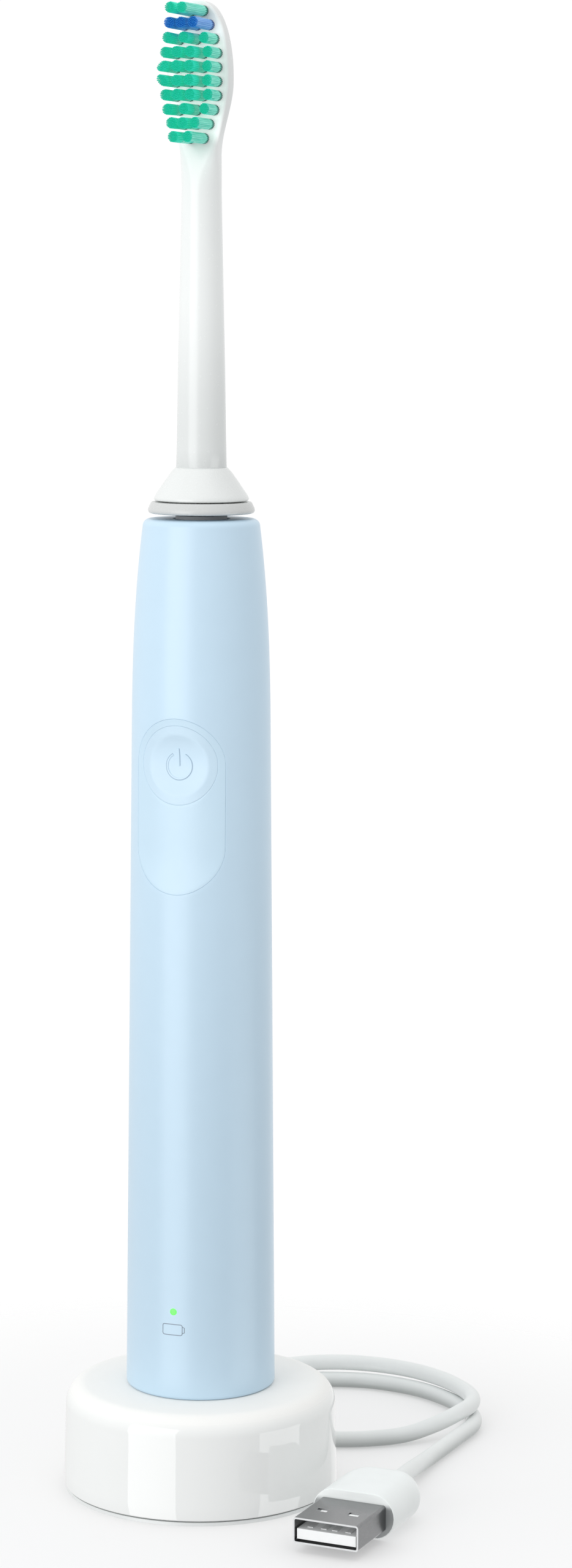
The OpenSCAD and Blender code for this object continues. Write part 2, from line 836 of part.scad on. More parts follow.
charger_housing();
charger_base_cover();
charger_bobbin();
charger_coil();
charger_core();
charger_board();
charger_board_parts();
cord_relief();
power_cord();
plug_grip();
plug_shell();
plug_tongue();
plug_contacts();
handle_shell();
grip_pad();
power_button();
switch_plunger();
charge_light_guide();
handle_end_cap();
end_cap_seal();
pickup_bobbin();
pickup_coil();
chassis();
battery_cell();
battery_tabs();
circuit_board();
circuit_board_parts();
switch_body();
stator_core();
stator_coil();
rotor_yoke();
rotor_magnets();
drive_shaft();
lower_bush();
upper_bush();
shaft_seal();
brush_head_shell();
collar_skirt();
colour_ring();
shaft_socket();
socket_clip();
bristles_green();
bristles_blue();
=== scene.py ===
"""Looks for an electric toothbrush on its charger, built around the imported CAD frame.

The design's own numbers are in millimetres here, as in the part, and helpers turn them into metres.
"""

import json
import random
from math import ceil, copysign, cos, hypot, pi, radians, sin, sqrt, tan

import bpy
from mathutils import Matrix, Vector


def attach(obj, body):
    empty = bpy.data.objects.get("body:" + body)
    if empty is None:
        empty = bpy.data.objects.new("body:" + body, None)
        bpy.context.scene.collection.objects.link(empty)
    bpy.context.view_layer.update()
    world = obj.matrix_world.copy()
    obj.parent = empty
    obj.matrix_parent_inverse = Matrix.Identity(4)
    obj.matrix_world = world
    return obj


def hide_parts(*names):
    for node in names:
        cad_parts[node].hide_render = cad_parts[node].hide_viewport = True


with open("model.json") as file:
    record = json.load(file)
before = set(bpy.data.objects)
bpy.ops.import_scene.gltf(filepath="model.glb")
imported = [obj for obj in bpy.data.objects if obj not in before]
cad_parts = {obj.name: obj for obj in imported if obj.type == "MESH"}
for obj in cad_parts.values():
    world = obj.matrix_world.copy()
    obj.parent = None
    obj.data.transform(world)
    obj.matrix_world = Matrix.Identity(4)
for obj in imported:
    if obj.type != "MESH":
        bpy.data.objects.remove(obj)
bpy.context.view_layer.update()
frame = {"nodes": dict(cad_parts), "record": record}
nodes = frame["nodes"]
MM = 0.001
TAU = 2 * pi

# ---------------- camera

CAMERA_AZIMUTH = radians(21.5)
CAMERA_PITCH = radians(7.5)
CAMERA_DISTANCE = 0.650
CAMERA_HEIGHT = 0.2118
CAMERA_YAW = radians(1.295)      # the object stands left of the picture's middle
CAMERA_ROLL = radians(0.05)    # keeps its axis upright there
SENSOR = 36.0
LENS = 86.12


def add_camera():
    """The camera at the photograph's viewing angle."""
    data = bpy.data.cameras.new("camera")
    data.sensor_fit = "VERTICAL"
    data.sensor_height = SENSOR
    data.lens = LENS
    data.clip_start = 0.01
    data.clip_end = 50
    camera = bpy.data.objects.new("camera", data)
    bpy.context.scene.collection.objects.link(camera)
    place = Vector((
        CAMERA_DISTANCE * sin(CAMERA_AZIMUTH),
        -CAMERA_DISTANCE * cos(CAMERA_AZIMUTH),
        CAMERA_HEIGHT,
    ))
    aim = (
        Matrix.Rotation(CAMERA_AZIMUTH, 4, "Z")
        @ Matrix.Rotation(pi / 2 - CAMERA_PITCH, 4, "X")
        @ Matrix.Rotation(-CAMERA_YAW, 4, "Y")
        @ Matrix.Rotation(CAMERA_ROLL, 4, "Z")
    )
    camera.matrix_world = Matrix.Translation(place) @ aim
    bpy.context.scene.camera = camera


add_camera()

# ---------------- mesh helpers


def smooth(t):
    t = min(1.0, max(0.0, t))
    return t * t * (3 - 2 * t)


def mix(a, b, t):
    return a + (b - a) * t


def make_object(name, points, faces, scale=MM, smooth_angle=35):
    """A mesh object from points in millimetres, smooth except at its sharp edges."""
    mesh = bpy.data.meshes.new(name)
    mesh.from_pydata([tuple(c * scale for c in p) for p in points], [], faces)
    mesh.validate()
    mesh.update()
    obj = bpy.data.objects.new(name, mesh)
    bpy.context.scene.collection.objects.link(obj)
    mesh.shade_smooth()
    mesh.set_sharp_from_angle(angle=radians(smooth_angle))
    return obj


def ring_faces(first, second, count):
    """Quads between two rings of count points that start at these indices."""
    return [
        (first + i, first + (i + 1) % count, second + (i + 1) % count, second + i)
        for i in range(count)
    ]


def join_loops(faces, outer, inner):
    """Quads between two loops of point indices."""
    count = len(outer)
    for i in range(count):
        n = (i + 1) % count
        faces.append((outer[i], outer[n], inner[n], inner[i]))


def polar(radius, angle):
    """The two coordinates of a point at this radius and angle."""
    return radius * cos(angle), radius * sin(angle)


def arc(centre_r, centre_z, radius, start, end, steps=8):
    """Points (r, z) on an arc, from start to end degrees."""
    points = []
    for i in range(steps + 1):
        across, up = polar(radius, radians(start + (end - start) * i / steps))
        points.append((centre_r + across, centre_z + up))
    return points


def lathe(name, outline, sides=160):
    """A solid of revolution about Z from an outline of (r, z), walked with its inside on the left."""
    points = []
    faces = []
    for r, z in outline:
        points += [(*polar(r, TAU * i / sides), z) for i in range(sides)]
    count = len(outline)
    for j in range(count):
        faces += ring_faces(j * sides, (j + 1) % count * sides, sides)
    return make_object(name, points, faces)


def tube_faces(start, rings, count):
    """The faces of a closed tube through a number of rings, the first of which starts here."""
    faces = []
    for j in range(rings - 1):
        faces += ring_faces(start + j * count, start + (j + 1) * count, count)
    end = start + (rings - 1) * count
    return faces + [tuple(reversed(range(start, start + count))), tuple(range(end, end + count))]


def skin(name, rings, closed):
    """A solid through rings of points that turn inwards: round in a loop, or closed at both ends."""
    count = len(rings[0])
    points = [p for ring in rings for p in ring]
    faces = []
    for j in range(len(rings) if closed else len(rings) - 1):
        faces += ring_faces((j + 1) % len(rings) * count, j * count, count)
    if not closed:
        faces.append(tuple(range(count)))
        faces.append(tuple(reversed(range(len(points) - count, len(points)))))
    return make_object(name, points, faces)


def loft(name, rings):
    """A closed solid through rings that have the same number of points."""
    points = [p for ring in rings for p in ring]
    return make_object(name, points, tube_faces(0, len(rings), len(rings[0])))


LOOK_OF_PIECE = {}


def settle(obj, body, node, slot, look=None):
    """Lets a piece ride on its body, stand for its CAD node and note its look, which is its slot's
    unless another look is given.
    """
    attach(obj, body)
    if node:
        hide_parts(node)
    LOOK_OF_PIECE[obj.name] = look or slot
    return obj


# ---------------- cord and plug

CORD_D = 3.0
CORD_ROUTE = [
    (0, 20, 6), (0, 25, 6), (0, 30, 6), (-0.5, 34, 5.8), (-2.8, 38.8, 5.4), (-6.2, 43.4, 5),
    (-8.8, 48.2, 4.6), (-9, 53.8, 4.5), (-6.6, 59.4, 4.5), (-2, 63.8, 4.5), (4, 66.5, 4.5),
    (11, 67.5, 4.4), (18, 66.3, 4.4), (24.5, 63.2, 4.4), (30, 58.7, 4.4), (33.9, 53.6, 4.5),
    (35.4, 48.6, 4.5), (34.4, 43.8, 4.1), (31.3, 39.6, 2.8), (26.8, 34.8, 1.7), (21, 30.6, 1.5),
    (15, 28, 1.5), (8.5, 27, 1.5), (2, 27.8, 1.5), (-4.5, 30.8, 1.5), (-9.2, 36, 1.5),
    (-11.5, 42.5, 1.5), (-11.5, 49.5, 1.5), (-9, 56, 1.5), (-4, 61.2, 1.5), (3, 64.5, 1.5),
    (11, 65.8, 1.5), (20.5, 63.8, 1.5), (28.5, 58.8, 1.5), (34, 52.8, 1.5), (36.6, 46, 1.5),
    (36.2, 37, 1.5), (35.2, 24, 1.5), (35.4, 10, 2.8), (36.2, -1.8, 3.95),
]


def smooth_route(route, steps):
    """Points on the smooth curve through a route's points."""
    found = []
    last = len(route) - 1
    for i in range(last):
        p0, p1, p2, p3 = (Vector(route[min(last, max(0, i + k))]) for k in (-1, 0, 1, 2))
        for s in range(steps):
            t = s / steps
            found.append(0.5 * (
                2 * p1 + (p2 - p0) * t + (2 * p0 - 5 * p1 + 4 * p2 - p3) * t * t
                + (3 * p1 - p0 - 3 * p2 + p3) * t * t * t
            ))
    found.append(Vector(route[last]))
    return found


def sweep(name, path, radius, sides=28):
    """A round tube along a path that never stands upright."""
    rings = []
    last = len(path) - 1
    for i, p in enumerate(path):
        along = (path[min(last, i + 1)] - path[max(0, i - 1)]).normalized()
        side = along.cross(Vector((0, 0, 1))).normalized()
        up = side.cross(along)
        rings.append([
            tuple(p + radius * (cos(TAU * k / sides) * side + sin(-TAU * k / sides) * up))
            for k in range(sides)
        ])
    return loft(name, rings)


cord_path = smooth_route(CORD_ROUTE, 12)
power_cord = sweep("power_cord_jacket", cord_path, CORD_D / 2 - 0.02)
settle(power_cord, "charger", "power_cord", "cord_jacket")

PLUG_AT = Vector((34.3, -29.7, 3.95))
PLUG_TURN = radians(-4)
PLUG_LEN = 12.0
GRIP_W = 15.2
GRIP_H = 7.9
GRIP_LEN = 16.0


def stadium_ring(half_w, half_h, y, steps=14):
    """A ring with flat top and bottom and round sides, in the plug's own frame."""
    radius = min(half_h, half_w)
    flat = half_w - radius
    points = []
    for sign, start in ((1, -90), (-1, 90)):
        for i in range(steps + 1):
            across, up = polar(radius, radians(start + 180 * i / steps))
            points.append((sign * flat + across, y, up * half_h / radius))
    return points


def plug_place(point):
    """A point of the plug's own frame in the row frame."""
    return tuple(Matrix.Rotation(PLUG_TURN, 3, "Z") @ Vector(point) + PLUG_AT)


def build_plug_grip():
    """The moulded grip: a flat rounded block that narrows in a smooth curve to the cord."""
    half_w = GRIP_W / 2
    half_h = GRIP_H / 2
    front_edge = 0.14
    tail_w = 5.2            # how far the tail narrows at each side, and how long it is
    tail_h = 2.6            # the same from above and below
    tail_flat = 0.82
    cord_r = CORD_D / 2 + 0.12
    sections = []
    for i in range(6):
        a = radians(90 * i / 5)
        inset = front_edge * (1 - sin(a))
        sections.append((half_w - inset, half_h - inset, PLUG_LEN + front_edge * (1 - cos(a))))
    for y in (2, 4, 6, 8, 9.5, 10.4):
        sections.append((half_w, half_h, PLUG_LEN + y))
    for i in range(13):
        a = radians(84 * i / 12)
        y = GRIP_LEN - tail_w + tail_w * sin(a)
        half = half_w - tail_w * (1 - cos(a))
        drop = max(0.0, (y - (GRIP_LEN - tail_h)) / tail_h)
        high = half_h - tail_h * (1 - sqrt(max(0.0, 1 - min(1, drop) ** 2))) * tail_flat
        sections.append((half, high, PLUG_LEN + y))
    sections.append((cord_r + 0.35, cord_r + 0.35, PLUG_LEN + GRIP_LEN + 0.05))
    sections.append((cord_r, cord_r, PLUG_LEN + GRIP_LEN + 0.5))
    rings = [[plug_place(p) for p in stadium_ring(w, h, y)] for w, h, y in sections]
    grip = loft("plug_grip_moulding", [list(reversed(ring)) for ring in rings])
    # The front face takes a second material that paints shade on it.
    front = max(grip.data.polygons, key=lambda face: -face.normal.y * face.area)
    front.material_index = 1
    return grip


plug_grip = settle(build_plug_grip(), "charger", "plug_grip", "plug_white")

# ---------------- charger

CHARGER_FOOT_R = 24.4
CHARGER_TOP_R = 24.0
CHARGER_H = 19.0
CHARGER_EDGE_R = 3.6
CHARGER_WALL = 1.8
CHARGER_SEAM = 0.9
PEG_R = 4.4
PEG_TOP = 27.6


def build_charger_housing():
    """The white puck with its peg, hollow inside."""
    outline = []
    outline += arc(CHARGER_FOOT_R - 0.25, CHARGER_SEAM + 0.25, 0.25, -90, 0, 4)
    for i in range(1, 6):
        t = i / 6
        outline.append((
            CHARGER_FOOT_R + (CHARGER_TOP_R - CHARGER_FOOT_R) * t,
            CHARGER_SEAM + (CHARGER_H - CHARGER_EDGE_R - CHARGER_SEAM) * t,
        ))
    edge_z = CHARGER_H - CHARGER_EDGE_R
    outline += arc(CHARGER_TOP_R - CHARGER_EDGE_R, edge_z, CHARGER_EDGE_R, 0, 90, 14)
    outline += [(16, CHARGER_H), (12, CHARGER_H), (8, CHARGER_H)]
    outline += list(reversed(arc(PEG_R + 0.5, CHARGER_H + 0.5, 0.5, 180, 270, 4)))
    outline += arc(PEG_R - 0.8, PEG_TOP - 0.8, 0.8, 0, 90, 8)
    peg_in_r, peg_in_z = 3.2, PEG_TOP - 1.2
    inner_r, ceiling = CHARGER_TOP_R - CHARGER_WALL, CHARGER_H - CHARGER_WALL
    outline += [(0.01, PEG_TOP), (0.01, peg_in_z), (peg_in_r, peg_in_z), (peg_in_r, ceiling)]
    outline += [(inner_r - 2, ceiling), (inner_r, edge_z), (inner_r, CHARGER_SEAM)]
    return lathe("charger_housing_shell", outline, 200)


settle(build_charger_housing(), "charger", "charger_housing", "white_housing")

# ---------------- handle

HANDLE_Z = 19.0
HANDLE_TOP = 172.6
HANDLE_FOOT_R = 13.2
HANDLE_TAPER = 0.0093
SHOULDER_Z = 136.0
SHOULDER_DROP = 1.75
SHOULDER_POWER = 2.5
HANDLE_WALL = 1.6
TOP_EDGE_R = 1.3
FOOT_EDGE_R = 0.7
SEAL_HOLE_R = 5.0
PAD_R = 8.1
PAD_LOW_C = 116.5       # centre of the pad's lower round end
BUTTON_Z = 130.8        # centre of its upper round end, and of the button
BUTTON_R = 6.89
BUTTON_HOLE_R = 6.9
POCKET_Y = 7.9          # how far from the axis the floor of the pad's pocket lies
SEAT_Y = 7.2            # and the inner face of its wall, clear of the switch plunger
PATCH_LOW = 104.0
PATCH_HIGH = 143.5
PATCH_HALF = 28         # columns of the handle's grid on each side of the front
PATCH_ROWS = 26
PATCH_LIP = 0.08        # radius of the rounding round the pocket's mouth


def handle_r(z):
    """Radius of the handle at height z, without its rounded ends."""
    shoulder = max(0.0, (z - SHOULDER_Z) / (HANDLE_TOP - SHOULDER_Z))
    return HANDLE_FOOT_R - HANDLE_TAPER * (z - HANDLE_Z) - SHOULDER_DROP * shoulder ** SHOULDER_POWER


def on_handle(x, z):
    """The handle's front surface at x and z."""
    return -sqrt(handle_r(z) ** 2 - x * x)


def outline_near(x, z):
    """The nearest point of the pad's pill outline, and the distance outwards from it."""
    centre = min(BUTTON_Z, max(PAD_LOW_C, z))
    dz = z - centre
    far = hypot(x, dz)
    return (x / far * PAD_R, centre + dz / far * PAD_R), far - PAD_R


def build_handle_shell():
    """The handle's tube, with the pill shaped pocket for the pad let into its front."""
    shape_top = HANDLE_TOP - TOP_EDGE_R
    heights = [19.7, 24, 30, 38, 46, 54, 62, 70, 78, 86, 94, 99]
    heights += [PATCH_LOW + (PATCH_HIGH - PATCH_LOW) * i / PATCH_ROWS for i in range(PATCH_ROWS + 1)]
    heights += [145.5, 148, 150.5, 153, 155, 157, 159, 160.8, 162.5, 164, 165.4, 166.7, 167.9, 169]
    heights += [170, 170.8]
    foot = arc(HANDLE_FOOT_R - FOOT_EDGE_R, HANDLE_Z + FOOT_EDGE_R, FOOT_EDGE_R, -90, -8, 6)
    edge_r = handle_r(shape_top)
    top = arc(edge_r - TOP_EDGE_R, shape_top, TOP_EDGE_R, 0, 90, 8)
    outer = foot + [(handle_r(z), z) for z in heights] + top
    row_low = len(foot) + heights.index(PATCH_LOW)
    row_high = row_low + PATCH_ROWS
    inner_top = HANDLE_TOP - 2.0
    inner = [(SEAL_HOLE_R, HANDLE_TOP), (SEAL_HOLE_R, inner_top)]
    inner += [(handle_r(inner_top) - HANDLE_WALL, inner_top)]
    inner += [(handle_r(z) - HANDLE_WALL, z) for z in reversed(heights) if z < inner_top - 2]
    inner += [(HANDLE_FOOT_R - HANDLE_WALL, HANDLE_Z)]
    outline = outer + inner
    sides = 192
    front = sides * 3 // 4
    points = []
    for j, (r, z) in enumerate(outline):
        for i in range(sides):
            x, y = polar(r, TAU * i / sides)
            if j >= len(outer) and PATCH_LOW < z < PATCH_HIGH:
                y = max(y, -SEAT_Y)
            points.append((x, y, z))
    faces = []
    count = len(outline)
    for j in range(count):
        for i in range(sides):
            in_patch = row_low <= j < row_high and front - PATCH_HALF <= i < front + PATCH_HALF
            if not in_patch:
                here, above, n = j * sides, (j + 1) % count * sides, (i + 1) % sides
                faces.append((here + i, here + n, above + n, above + i))
    # The patch: rings that turn the grid's square edge into the pill outline.
    edge = [row_low * sides + front + i for i in range(-PATCH_HALF, PATCH_HALF)]
    edge += [j * sides + front + PATCH_HALF for j in range(row_low, row_high)]
    edge += [row_high * sides + front + i for i in range(PATCH_HALF, -PATCH_HALF, -1)]
    edge += [j * sides + front - PATCH_HALF for j in range(row_high, row_low, -1)]
    previous = edge
    for step in (0.8, 0.6, 0.42, 0.26, 0.12):
        previous = add_patch_ring(points, faces, edge, previous,
                                  lambda far, s=step: PATCH_LIP + (far - PATCH_LIP) * s)
    for away in (PATCH_LIP, 0.05, 0.02, 0.0):
        previous = add_patch_ring(points, faces, edge, previous, lambda far, s=away: s)
    for depth in (8.6, POCKET_Y):
        ring = [len(points) + i for i in range(len(edge))]
        points += [(points[index][0], -depth, points[index][2]) for index in previous]
        join_loops(faces, previous, ring)
        previous = ring
    faces.append(tuple(previous))
    return make_object("handle_tube", points, faces)


def add_patch_ring(points, faces, edge, previous, distance):
    """One more ring of the patch, at a distance outside the pill outline."""
    ring = []
    for index in edge:
        ex, _, ez = points[index]
        (ox, oz), far = outline_near(ex, ez)
        away = distance(far)
        share = away / far
        x, z = ox + (ex - ox) * share, oz + (ez - oz) * share
        sunk = PATCH_LIP - sqrt(max(0.0, PATCH_LIP ** 2 - max(0.0, PATCH_LIP - away) ** 2))
        ring.append(len(points))
        points.append((x, on_handle(x, z) + sunk, z))
    join_loops(faces, previous, ring)
    return ring


settle(build_handle_shell(), "handle", "handle_shell", "handle_blue")

PAD_GAP = 0.01
PAD_DEPTH = 0.96        # how far the scoop lies under the handle's own surface
PAD_HOLLOW = 2.4        # power of the scoop's profile
PAD_ROUND = 0.05        # size of the rounded edges, which have one point half way
PAD_EASE = 0.02
PAD_EASE_Y = 0.015


def pad_surface(x, z):
    """The face that the pad and the button share: a shallow scoop in the handle's surface."""
    centre = min(BUTTON_Z, max(PAD_LOW_C, z))
    share = min(1.0, hypot(x, z - centre) / PAD_R)
    return on_handle(x, z) + PAD_DEPTH * (1 - share ** PAD_HOLLOW)


def build_pad():
    """The pill shaped pad, with the hole that the button works in."""
    count = 180
    outline = []
    for i in range(count):
        dx, dz = polar(1, TAU * i / count)
        low, high = 0.0, 40.0
        for _ in range(40):
            mid = (low + high) / 2
            if outline_near(dx * mid, BUTTON_Z + dz * mid)[1] < -PAD_GAP:
                low = mid
            else:
                high = mid
        outline.append((dx, dz, low))
    rings = []

    def add_ring(reach, depth):
        spots = [(dx * reach(far), BUTTON_Z + dz * reach(far)) for dx, dz, far in outline]
        rings.append([(x, depth(x, z), z) for x, z in spots])

    back = -POCKET_Y - 0.02
    add_ring(lambda far: BUTTON_HOLE_R, lambda x, z: back)
    add_ring(lambda far: BUTTON_HOLE_R, lambda x, z: pad_surface(x, z) + PAD_ROUND)
    add_ring(lambda far: BUTTON_HOLE_R + PAD_EASE, lambda x, z: pad_surface(x, z) + PAD_EASE_Y)
    steps = 22
    for i in range(steps + 1):
        t = i / steps
        add_ring(lambda far, t=t: BUTTON_HOLE_R + PAD_ROUND + (far - BUTTON_HOLE_R - 2 * PAD_ROUND) * t,
                 pad_surface)
    add_ring(lambda far: far - PAD_EASE, lambda x, z: pad_surface(x, z) + PAD_EASE_Y)
    add_ring(lambda far: far, lambda x, z: pad_surface(x, z) + PAD_ROUND)
    add_ring(lambda far: far, lambda x, z: back)
    return skin("grip_pad_skin", rings, True)


settle(build_pad(), "handle", "grip_pad", "pad_blue")

BUTTON_EDGE = 0.03
DISH_R = 5.4
DISH_DEPTH = 1.05
DISH_POWER = 1.1
BUTTON_BACK_Y = 8.5


def button_surface(x, z):
    """The button's face: the shared scoop, with a round dish sunk in it."""
    away = hypot(x, z - BUTTON_Z)
    dish = 0.0
    if away < DISH_R:
        t = away / DISH_R
        dish = DISH_DEPTH * (1 - t * t) ** DISH_POWER
    return pad_surface(x, z) + dish


def build_button():
    """The round button with its dish."""
    rings = []

    def add_ring(away, depth):
        rings.append([(x, depth(x, z), z) for x, z in arc(0, BUTTON_Z, away, 0, 357, 119)])

    for away in [0.05] + [DISH_R * i / 14 for i in range(1, 15)] + [5.7, 6.0, 6.4, 6.7]:
        add_ring(away, button_surface)
    for i in range(1, 6):
        a = radians(90 * i / 5)
        add_ring(BUTTON_R - BUTTON_EDGE + BUTTON_EDGE * sin(a),
                 lambda x, z, s=BUTTON_EDGE * (1 - cos(a)): button_surface(x, z) + s)
    add_ring(BUTTON_R, lambda x, z: -BUTTON_BACK_Y)
    add_ring(0.05, lambda x, z: -BUTTON_BACK_Y)
    return skin("power_button_cap", rings, False)


settle(build_button(), "button", "power_button", "button_blue")

RIBBON_SUNK = 0.08      # how far a line's foot lies under the surface
RIBBON_TOP = ((0.48, 0.6), (0.36, 0.95), (0, 1), (-0.36, 0.95), (-0.48, 0.6))


def ribbon(name, path, width, surface, height, closed=False):
    """A thin raised line on the front: a path of (x, z) with a closed, round edged section."""
    count = len(path)
    rings = []
    section = [(-0.5, -RIBBON_SUNK), (0.5, -RIBBON_SUNK)]
    section += [(side, share * height) for side, share in RIBBON_TOP]
    for i, (x, z) in enumerate(path):
        before = path[(i - 1) % count] if closed else path[max(0, i - 1)]
        after = path[(i + 1) % count] if closed else path[min(count - 1, i + 1)]
        dx, dz = after[0] - before[0], after[1] - before[1]
        size = hypot(dx, dz)
        nx, nz = dz / size, -dx / size
        spots = [(x + nx * side * width, z + nz * side * width, out) for side, out in section]
        rings.append([(px, surface(px, pz) - out, pz) for px, pz, out in spots])
    return skin(name, rings, closed)


POWER_RING_R = 2.22
POWER_Z = BUTTON_Z - 0.2
POWER_STROKE = 3.05     # length of the stroke, from the ring's middle
POWER_GAP = 29          # half of the ring's gap, in degrees
POWER_LINE = 0.3
# The dark line along the sign's outside is painted shadow, not print.
POWER_SHADOW_LINE = 0.15       # width of the dark line along the sign's outside


def build_power_mark():
    """The generic power sign on the button: a ring with a gap, and a stroke in it, with a thin dark
    line along the outside of both as painted shadow.
    """
    def ring(radius):
        return arc(0, POWER_Z, radius, 90 + POWER_GAP, 450 - POWER_GAP, 60)

    def stroke(x):
        return [(x, POWER_Z + POWER_STROKE * i / 12) for i in range(13)]

    aside = (POWER_LINE + POWER_SHADOW_LINE) / 2
    for name, path, width, height, look in (
        ("power_sign_ring", ring(POWER_RING_R), POWER_LINE, 0.1, "button_blue"),
        ("power_sign_stroke", stroke(-0.1), POWER_LINE, 0.1, "button_blue"),
        ("power_sign_ring_painted_shadow", ring(POWER_RING_R + aside - 0.02), POWER_SHADOW_LINE, 0.02, "sign_painted_shadow"),
        ("power_sign_stroke_painted_shadow", stroke(aside - 0.12), POWER_SHADOW_LINE, 0.02, "sign_painted_shadow"),
    ):
        settle(ribbon(name, path, width, button_surface, height), "button", None, "button_blue", look)


build_power_mark()


def along(path, step):
    """The same path with points added, so that none are farther apart than a step."""
    points = [path[0]]
    for (x0, z0), (x1, z1) in zip(path, path[1:]):
        count = max(1, ceil(hypot(x1 - x0, z1 - z0) / step))
        points += [(mix(x0, x1, i / count), mix(z0, z1, i / count)) for i in range(1, count + 1)]
    return points


BATTERY_Z = 31.6
BATTERY_W = 4.15
BATTERY_H = 1.9
BATTERY_LINE = 0.16
BATTERY_RAISED = 0.014


def build_battery_mark():
    """The battery outline under the charge light."""
    half_w, half_h, r = BATTERY_W / 2 - 0.25, BATTERY_H / 2, 0.35
    path = []
    for cx, cz, start in ((half_w - r, half_h - r, 0), (r - half_w, half_h - r, 90),
                          (r - half_w, r - half_h, 180), (half_w - r, r - half_h, 270)):
        path += arc(cx - 0.2, BATTERY_Z + cz, r, start, start + 90, 6)
    path = along(path + path[:1], 0.3)[:-1]
    corners = ((-0.2, 0.6), (0.2, 0.42), (0.2, -0.42), (-0.2, -0.6))
    nub = [(half_w + x, BATTERY_Z + z) for x, z in corners]
    for name, line, closed in (("outline", path, True), ("nub", nub, False)):
        mark = ribbon("battery_sign_" + name, line, BATTERY_LINE, on_handle, BATTERY_RAISED, closed)
        settle(mark, "handle", None, "ring_grey", "sign_print")


build_battery_mark()

LIGHT_Z = 34.8
LIGHT_R = 0.62
LIGHT_OUTLINE = [(LIGHT_R, -6.4), (LIGHT_R, 0.01), (0.5, 0.05), (0.3, 0.075), (0.02, 0.08)]


def build_light():
    """The charge light: a small round lens, from an outline of (radius, outwards)."""
    rings = []
    for r, out in LIGHT_OUTLINE:
        ring = arc(0, LIGHT_Z, r, 0, 351, 39)
        rings.append([(x, on_handle(0, LIGHT_Z) - out, z) for x, z in ring])
    return loft("charge_light_lens", rings)


settle(build_light(), "handle", "charge_light_guide", "light_green")

# ---------------- collar


def soft_outline(points, steps):
    """The same outline with smooth curves between its points."""
    return [(p.x, p.y) for p in smooth_route([(r, z, 0) for r, z in points], steps)]


def build_collar():
    """The grey ring and the white skirt above it."""
    ring = [(6.4, 173.5), (8.55, 173.5), (8.78, 173.53)]
    ring += soft_outline([(8.98, 173.6), (9.16, 173.78), (9.25, 174.05), (9.2, 174.35), (8.98, 174.87),
                          (8.76, 175.3)], 4)
    ring += [(8.62, 175.46), (8.4, 175.5), (6.4, 175.5)]
    settle(lathe("collar_ring", ring), "brush_head", "colour_ring", "ring_grey")
    skirt = [(6.2, 175.7), (7.85, 175.7), (8.05, 175.74)]
    skirt += soft_outline([(8.16, 175.85), (8.2, 176.05), (8.12, 176.35), (7.9, 176.75), (7.1, 177.95),
                           (6.25, 179.2), (5.35, 180.45), (4.7, 181.2)], 5)
    skirt += [(4.5, 181.38), (4.4, 181.4), (3.95, 181.4), (3.95, 177.4), (6.2, 177.4)]
    settle(lathe("collar_cone", skirt), "brush_head", "collar_skirt", "head_white", "skirt_white")


build_collar()

# ---------------- brush head

NECK_FOOT = 181.4
NECK = [(NECK_FOOT, 4.37), (184, 4.3), (200, 4.04), (217, 3.66), (228, 3.45)]
HEAD_TIP = 260.5
PLATE_HALF_W = 5.7
TIP_POWER = 1.9         # these two give the plate's end its oval
TIP_ROOT = 2.4
TIP_FLAT = 0.09         # how far below the tip the last ring lies
FRONT_POWER = 0.15      # the smaller, the flatter the plate's front and the sharper its edges
BACK_POWER = 0.74
BACK_THIN = 0.35        # share of its depth that the plate's back loses at the tip
PLATE_WIDE_Z = 248.0
PLATE_FOOT_Z = 234.5
LOFT_LOW = 228.0
FACE_Y = 2.07
PLATE_BACK_Y = 1.9
NECK_TOP_R = 3.45
SOCKET_R = 3.0
SOCKET_TOP = 199.0
SPIGOT_R = 3.9
SPIGOT_LOW = 176.4
ROW_ONE_Z = 258.7
ROW_PITCH = 2.37
TUFT_R = 0.93


def neck_r(z):
    """Radius of the round neck."""
    for (z0, r0), (z1, r1) in zip(NECK, NECK[1:]):
        if z <= z1:
            return mix(r0, r1, (z - z0) / (z1 - z0))
    return NECK_TOP_R


def plate_w(z):
    """Half width of the plate."""
    if z > PLATE_WIDE_Z:
        share = min(1.0, (z - PLATE_WIDE_Z) / (HEAD_TIP - PLATE_WIDE_Z))
        return PLATE_HALF_W * (1 - share ** TIP_POWER) ** (1 / TIP_ROOT)
    foot = min(neck_r(z), NECK_TOP_R)
    return foot + (PLATE_HALF_W - foot) * smooth((z - PLATE_FOOT_Z) / (PLATE_WIDE_Z - PLATE_FOOT_Z - 1))


def plate_part(z):
    """How far the neck has turned into the plate."""
    return smooth((z - LOFT_LOW) / (PLATE_FOOT_Z + 4 - LOFT_LOW))


def head_point(z, a):
    """A point of the brush head's outside, at angle a from the X axis."""
    part = plate_part(z)
    end = max(0.0, (z - PLATE_WIDE_Z) / (HEAD_TIP - PLATE_WIDE_Z))
    front = sin(a) < 0
    power = mix(1, FRONT_POWER, part ** 1.3) if front else mix(1, BACK_POWER, part)
    wide = neck_r(z) if z < LOFT_LOW else plate_w(z)
    deep = mix(min(neck_r(z), wide), FACE_Y if front else PLATE_BACK_Y, part)
    deep *= 1 if front else 1 - BACK_THIN * end ** 3
    return (
        wide * copysign(abs(cos(a)) ** power, cos(a)),
        deep * copysign(abs(sin(a)) ** power, sin(a)),
        z,
    )


